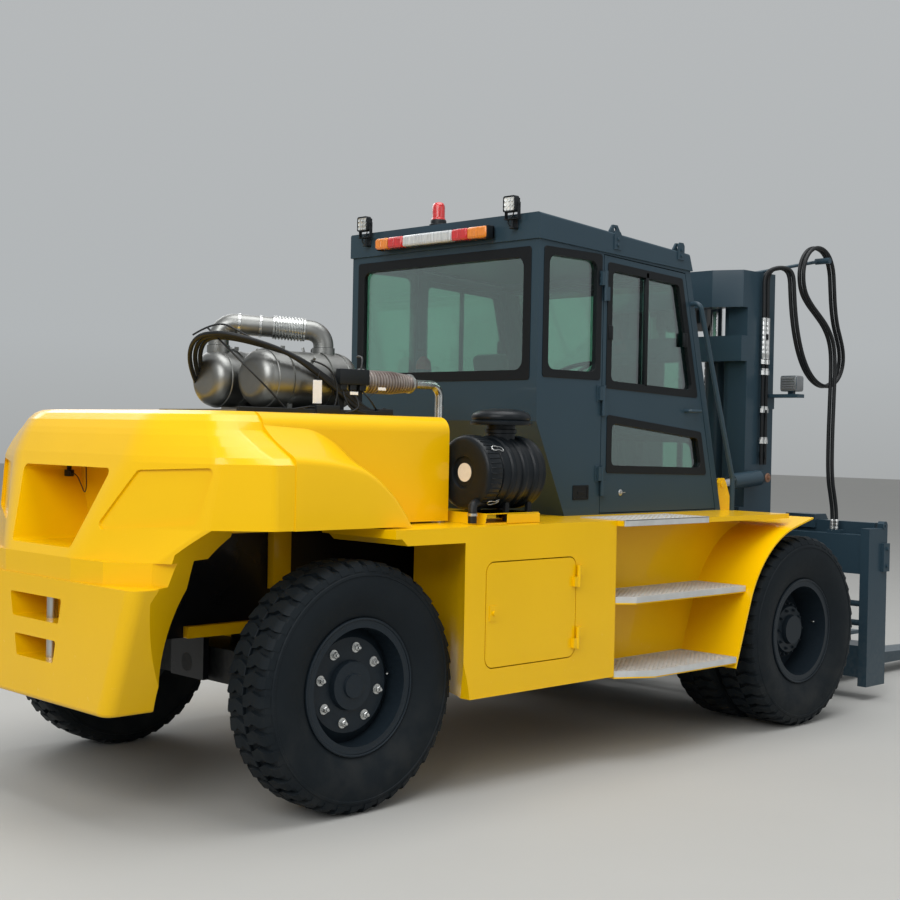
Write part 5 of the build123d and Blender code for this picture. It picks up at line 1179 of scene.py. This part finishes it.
def addCabTrim():
    shellBolts = bmesh.new()
    wall = cab["half"]
    for side, word in sides:
        out = outward[side]
        bm = bmesh.new()
        for z in cabTrim["hinges"]:
            for target, x0, x1 in ((shellBolts, -1.066, -1.036), (bm, -1.001, -0.979)):
                sideSlab(target, side, (x0, wall + 0.0004, -0.052), (x1, wall + 0.005, 0.052), 0.0012, 1,
                         (0, 0, z))
                for step in (-0.036, 0.0, 0.036):
                    bolt(target, ((x0 + x1) / 2, side * (wall + 0.005), z + step), out, 0.0062, 0.0055)
        newPiece("doorLeaves" + word, bm, "cab_door_" + word.lower(), "grey_paint")
        for x in cabTrim["lugs"]:
            face = outlineFace(shellBolts, [(x + dx, side * 0.8425, z) for dx, z in cabTrim["lug"]])
            grow(shellBolts, [face], (0, side * 0.0065, 0))
            for z in (3.044, 3.082):
                bolt(shellBolts, (x, side * 0.849, z), out, 0.0095, 0.008)
        bm = bmesh.new()
        x, z = cabTrim["lock"]
        spun(bm, cabTrim["lockCap"], (x, side * wall, z), out, 28)
        sideSlab(bm, side, (0.002, wall + 0.005, -0.002), (0.040, wall + 0.009, 0.002), 0.0008, 1,
                 (x, 0, z))
        newPiece("doorLock" + word, bm, "cab_door_" + word.lower(), "bright_steel", zincNuts)
        x0, x1, z0, z1 = cabTrim["vent"]
        bm = bmesh.new()
        square = sidePane(side * (wall + 0.004), x0, x1, z0, z1)
        band(bm, rounded(square, 0.008, 3), 0.014, (0, -side * 0.0036, 0))
        sideSlab(bm, side, (x0 + 0.013, wall + 0.0003, z0 + 0.013), (x1 - 0.013, wall + 0.0018, z1 - 0.013),
                 0.0005, 1)
        sideSlab(bm, side, (x0 + 0.045, wall + 0.0015, z0 + 0.036), (x1 - 0.045, wall + 0.005, z0 + 0.050),
                 0.001, 1)
        newPiece("cabVent" + word, bm, "chassis", "black_plastic", sealRubber)
    newPiece("cabPlates", shellBolts, "chassis", "grey_paint")
    x, y, z = at = cabTrim["extinguisher"]
    bm = bmesh.new()
    spun(bm, cabTrim["bottle"], at, "z", 28)
    newPiece("extinguisher", bm, "chassis", "lamp_lens", extinguisherRed)
    bm = bmesh.new()
    spun(bm, [(0, 0.392), (0.016, 0.392), (0.016, 0.428), (0.010, 0.436), (0, 0.436)], at, "z", 16)
    slab(bm, (-0.06, -0.008, 0.428), (0.02, 0.008, 0.440), 0.003, 2, at)
    for height in (0.08, 0.28):
        sleeve(bm, 0.0535, 0.056, 0, 0.022, (x, y, z + height), "z", 28, True)
    slab(bm, (-0.020, 0.052, 0.02), (0.020, 0.064, 0.34), 0.002, 1, at)
    newPiece("extinguisherHead", bm, "chassis", "black_plastic")


addCabTrim()
print("cab trim made")

# Seat on its suspension, counted from the middle of the cushion on the cab's floor
seat = {
    "place": (-0.850, 0, 1.440), "half": 0.250, "backLean": 11.0,
    "base": (((-0.22, -0.21, 0.0005), (0.24, 0.21, 0.050), 0.008),
             ((-0.23, -0.235, 0.190), (0.25, 0.235, 0.235), 0.012)),
}


def addSeat():
    x, y, z = at = seat["place"]
    w = seat["half"]
    bm = bmesh.new()
    for low, high, edge in seat["base"]:
        slab(bm, low, high, edge, 2, at)
    for k in range(5):  # folds of the bellows
        fold = 0.004 * (k % 2)
        slab(bm, (fold - 0.19, -0.19, 0), (0.20 - fold, 0.19, 0.027), 0.008, 2, (x, y, z + 0.050 + 0.028 * k))
    bothSides(bm, (-0.255, 0.268, 0.33), (-0.205, 0.285, 0.53), 0.006, 2, at)
    newPiece("seatBase", bm, "chassis", "black_plastic")
    bm = bmesh.new()
    slab(bm, (-0.21, 0.03 - w, 0.235), (0.28, w - 0.03, 0.345), 0.035, 5, at)
    bothSides(bm, (-0.20, w - 0.07, 0.238), (0.26, w + 0.005, 0.372), 0.032, 5, at)
    bothSides(bm, (-0.22, 0.270, 0.500), (0.12, 0.322, 0.545), 0.018, 5, at)
    before = set(bm.verts)
    slab(bm, (-0.235, 0.03 - w, 0.330), (-0.135, w - 0.03, 0.810), 0.040, 5, at)
    bothSides(bm, (-0.235, w - 0.07, 0.345), (-0.112, w, 0.770), 0.034, 5, at)
    slab(bm, (-0.225, -0.135, 0.812), (-0.135, 0.135, 0.955), 0.036, 5, at)
    lean = Matrix.Rotation(math.radians(-seat["backLean"]), 3, "Y")
    bmesh.ops.rotate(bm, cent=(x - 0.18, 0, z + 0.34), matrix=lean, verts=freshVerts(bm, before))
    piece = newPiece("seatCushions", bm, "chassis", "seat_cloth", sharp=60)
    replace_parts(piece, "seat")
    seams = [[(x - 0.17, y, z + 0.3465), (x + 0.02, y, z + 0.3465), (x + 0.24, y, z + 0.3455)]
             for y in (-0.11, 0.11)]
    cable("seatSeams", seams, 0.0025, "chassis", "seat_cloth")


addSeat()
print("seat made")

# Mast trim: hose ferrules, pipe unions, tilt pins, lamp lenses and leaf chains
mastTrim = {
    "pipes": (0.987, 0.941), "pipeY": -0.690, "ferrule": (2.440, 2.7345), "unions": (2.330, 2.060, 1.840),
    "pin": (0.882, 0.785, 1.600), "lamp": (1.120, 0.790, 0.900, 2.225, 2.315),
    "chainY": 0.120, "plates": 8, "spacing": 0.0052, "pitch": 0.0300, "leaf": (0.0118, 0.005, 0.0046),
    # chain: centre x, bottom, top, body
    "chains": {"chains_rear": (0.830, 2.520, 2.770, "outer_mast"),
               "chains_front": (1.074, 1.180, 2.770, "inner_mast")},
    "travel": 1.5,
}


def leafPlate(bm, x, y, low, high):
    half, cut, thick = mastTrim["leaf"]
    outline = [(x - half + cut, low), (x + half - cut, low), (x + half, low + cut), (x + half, high - cut),
               (x + half - cut, high), (x - half + cut, high), (x - half, high - cut), (x - half, low + cut)]
    near, far = ([bm.verts.new((px, y + shift, pz)) for px, pz in outline]
                 for shift in (-thick / 2, thick / 2))
    bm.faces.new(near)
    bm.faces.new(far[::-1])
    joinLoops(bm, (near, far))


def addFerrules():
    bm = bmesh.new()
    low, high = mastTrim["ferrule"]
    profile = [(0.0140, 0.0), (0.0182, 0.002), (0.0182, 0.030)]
    for k in range(7):
        profile += [(0.0190, 0.034 + 0.034 * k), (0.0190, 0.056 + 0.034 * k), (0.0182, 0.060 + 0.034 * k)]
    profile += [(0.0196, 0.276), (0.0196, high - low), (0.0145, high - low)]
    for x in mastTrim["pipes"]:
        place = (x, mastTrim["pipeY"], low)
        spun(bm, profile, place, "z", 24)
        sleeve(bm, 0, 0.0215, -0.034, -0.002, place, "z", 6)
        for z in mastTrim["unions"]:
            sleeve(bm, 0, 0.0200, 0, 0.030, (x, mastTrim["pipeY"], z), "z", 6)
            sleeve(bm, 0, 0.0160, 0.030, 0.046, (x, mastTrim["pipeY"], z), "z", 20)
    newPiece("hoseFerrules", bm, "outer_mast", "bright_steel", zincNuts)


def addMastTrim():
    x, y, z = mastTrim["pin"]
    for side, word in sides:
        bm = bmesh.new()
        spun(bm, [(0, 0), (0.033, 0), (0.033, 0.005), (0.028, 0.009), (0, 0.009)], (x, side * y, z),
             outward[side], 32)
        bolt(bm, (x, side * (y + 0.009), z), outward[side], 0.010, 0.009)
        newPiece("tiltPin" + word, bm, "tilt_barrel_" + word.lower(), "bright_steel", pinBrass)
    x, y0, y1, z0, z1 = mastTrim["lamp"]
    lens, shell, housing = bmesh.new(), bmesh.new(), bmesh.new()
    for side, word in sides:
        low, high = sorted((side * y0, side * y1))
        slab(lens, (x + 0.0005, low, z0), (x + 0.007, high, z1), 0.003)
        for k in range(6):
            y = low + 0.013 + 0.0168 * k
            slab(lens, (x + 0.006, y - 0.003, z0 + 0.008), (x + 0.0085, y + 0.003, z1 - 0.008), 0.001, 1)
        square = rearPane(x, low - 0.006, high + 0.006, z0 - 0.006, z1 + 0.006)
        band(shell, rounded(square, 0.010, 3), 0.007, (0.009, 0, 0))
        for k in range(5):
            z = z0 + 0.010 + 0.0175 * k
            slab(housing, (x - 0.0965, low + 0.006, z - 0.0035), (x - 0.0895, high - 0.006, z + 0.0035),
                 0.0015, 1)
        slab(housing, (x - 0.0912, low - 0.0115, z0 - 0.0112), (x + 0.0012, high + 0.0115, z1 + 0.0112),
             0.010, 3)
    newPiece("headlampLenses", lens, "outer_mast", "lamp_lens", lensFinish["clear"])
    newPiece("headlampBezels", shell, "outer_mast", "bright_steel", zincNuts)
    newPiece("headlampShells", housing, "outer_mast", "grey_paint", lampGrey)


def addChains():
    middle = (mastTrim["plates"] - 1) / 2
    for node, (x, low, high, body) in mastTrim["chains"].items():
        bm = bmesh.new()
        count = int((high - low) / mastTrim["pitch"])
        pitch = (high - low) / count
        for side, word in sides:
            for k in range(count):
                for leaf in range(k % 2, mastTrim["plates"], 2):
                    y = side * mastTrim["chainY"] + (leaf - middle) * mastTrim["spacing"]
                    leafPlate(bm, x, y, max(low, low + k * pitch - 0.011),
                              min(high, low + (k + 1) * pitch + 0.011))
        piece = newPiece(node.replace("_", "") + "Leaves", bm, body, "chain_steel")
        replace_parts(piece, node)
        if body == "inner_mast":  # the inner mast's chain gets a mesh of its own
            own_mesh(piece)


addFerrules()
addMastTrim()
addChains()
print("mast trim made")

# Carriage fittings: shoulder bolts, lifting eyes and the hoses' end ferrules
carriageTrim = {
    "side": 1.222, "bolts": ((1.790, 0.965), (1.790, 1.090)), "eye": (1.786, 1.200, 1.252),
    "hoseEnds": ((1.662, -0.845), (1.662, -0.879)), "foot": 1.2153,
    "ferrule": ((0.0143, 0.0002), (0.0163, 0.002), (0.0163, 0.020), (0.0155, 0.024), (0.0163, 0.028),
                (0.0163, 0.046), (0.0155, 0.050), (0.0163, 0.054), (0.0163, 0.072), (0.0143, 0.076)),
}


def addCarriageTrim():
    bm = bmesh.new()
    eyeX, eyeY, eyeZ = carriageTrim["eye"]
    for side, word in sides:
        for x, z in carriageTrim["bolts"]:
            bolt(bm, (x, side * carriageTrim["side"], z), outward[side], 0.013, 0.012)
        sleeve(bm, 0.012, 0.024, 0.0003, 0.004, (eyeX, side * eyeY, eyeZ), outward[side], 28, True)
    newPiece("carriageBolts", bm, "carriage", "grey_paint")
    bm = bmesh.new()
    for x, y in carriageTrim["hoseEnds"]:
        spun(bm, carriageTrim["ferrule"], (x, y, carriageTrim["foot"]), "z", 24)
    newPiece("hoseEndFerrules", bm, "carriage", "bright_steel", zincNuts)


addCarriageTrim()
print("carriage trim made")

# Chassis trim: braces seen in the arch, and the pocket's plug with its wire
chassisTrim = {
    "braces": (((-3.130, 0.2925, 1.020), (-3.010, 0.345, 1.395)),
               ((-3.660, 0.2925, 0.800), (-3.180, 0.340, 0.860))),
    "plug": (-3.950, 0.355, 1.604),
    "plugBlocks": (((-0.016, -0.026, 0), (0.016, 0.026, 0.036), 0.005),
                   ((-0.010, -0.034, 0.006), (0.010, -0.024, 0.028), 0.003),
                   ((-0.010, -0.010, 0.034), (0.010, 0.010, 0.066), 0.003)),
    # wire, from the plug's place in its plane: y, z
    "wire": ((-0.030, 0.018), (-0.075, 0.016), (-0.125, -0.040), (-0.160, -0.085), (-0.178, -0.050),
             (-0.172, 0.010), (-0.170, 0.066)),
}


def addChassisTrim():
    bm = bmesh.new()
    for low, high in chassisTrim["braces"]:
        bothSides(bm, low, high, 0.004)
    newPiece("archBraces", bm, "chassis", "yellow_paint")
    x, y, z = at = chassisTrim["plug"]
    bm = bmesh.new()
    for low, high, edge in chassisTrim["plugBlocks"]:
        slab(bm, low, high, edge, 2, at)
    newPiece("pocketPlug", bm, "chassis", "black_plastic")
    wire = [(x, y + dy, z + dz) for dy, dz in chassisTrim["wire"]]
    cable("pocketWire", [wire], 0.0028, "chassis", "hose_rubber")


addChassisTrim()
print("chassis trim made")

# Floor and light
studio = {
    "floor": (0.39, 0.39, 0.375), "sky": 0.54,
    "horizon": ((0.0, (0.42, 0.42, 0.41)), (0.47, (0.66, 0.68, 0.68)), (0.53, (0.82, 0.86, 0.88)),
                (1.0, (1.0, 1.0, 1.0))),
    # power, size, place, aim
    "lamps": {"keyLight": (1250.0, 9.0, (-14.0, -6.0, 9.0), (-1.5, 0.0, 1.0)),
              "topLight": (1200.0, 10.0, (-1.0, -2.0, 13.0), (-1.0, -0.5, 1.0)),
              "fillLight": (190.0, 8.0, (0.5, -15.0, 6.0), (0.5, 0.0, 1.2)),
              "backLight": (500.0, 8.0, (2.0, 12.0, 9.0), (0.0, 0.0, 1.2))},
}


def addStage():
    mesh = bpy.data.meshes.new("studioFloor")
    bm = bmesh.new()
    bmesh.ops.create_grid(bm, x_segments=1, y_segments=1, size=60.0)
    bm.to_mesh(mesh)
    bm.free()
    skin = Surface("studioFloor", Roughness=0.8)
    tone = skin.noise(0.9, 5.0, 0.6).mix(*tones(studio["floor"], 0.96, 1.03))
    skin.tree.links.new(tone.socket, skin.shader.inputs["Base Color"])
    mesh.materials.append(skin.material)
    newObject("studioFloor", mesh)
    bpy.context.scene.view_settings.view_transform = "Standard"
    world = bpy.data.worlds.new("softSky")
    bpy.context.scene.world = world
    world.use_nodes = True
    tree = world.node_tree
    start = Link(tree, None)
    place = start.add("ShaderNodeTexCoord", out=0)
    height = start.add("ShaderNodeSeparateXYZ", None, {0: place}, 2)
    sky = start.add("ShaderNodeValToRGB", {"stops": studio["horizon"]}, {"Fac": height.fade(-1.0, 1.0)})
    ground = tree.nodes["Background"]
    tree.links.new(sky.socket, ground.inputs["Color"])
    ground.inputs["Strength"].default_value = studio["sky"]
    for name, (energy, size, place, aim) in studio["lamps"].items():
        lamp = bpy.data.lights.new(name, "AREA")
        lamp.energy = energy
        lamp.size = size
        holder = newObject(name, lamp)
        holder.location = place
        holder.rotation_euler = (Vector(aim) - Vector(place)).to_track_quat("-Z", "Y").to_euler()


addStage()
print("floor and lights made")
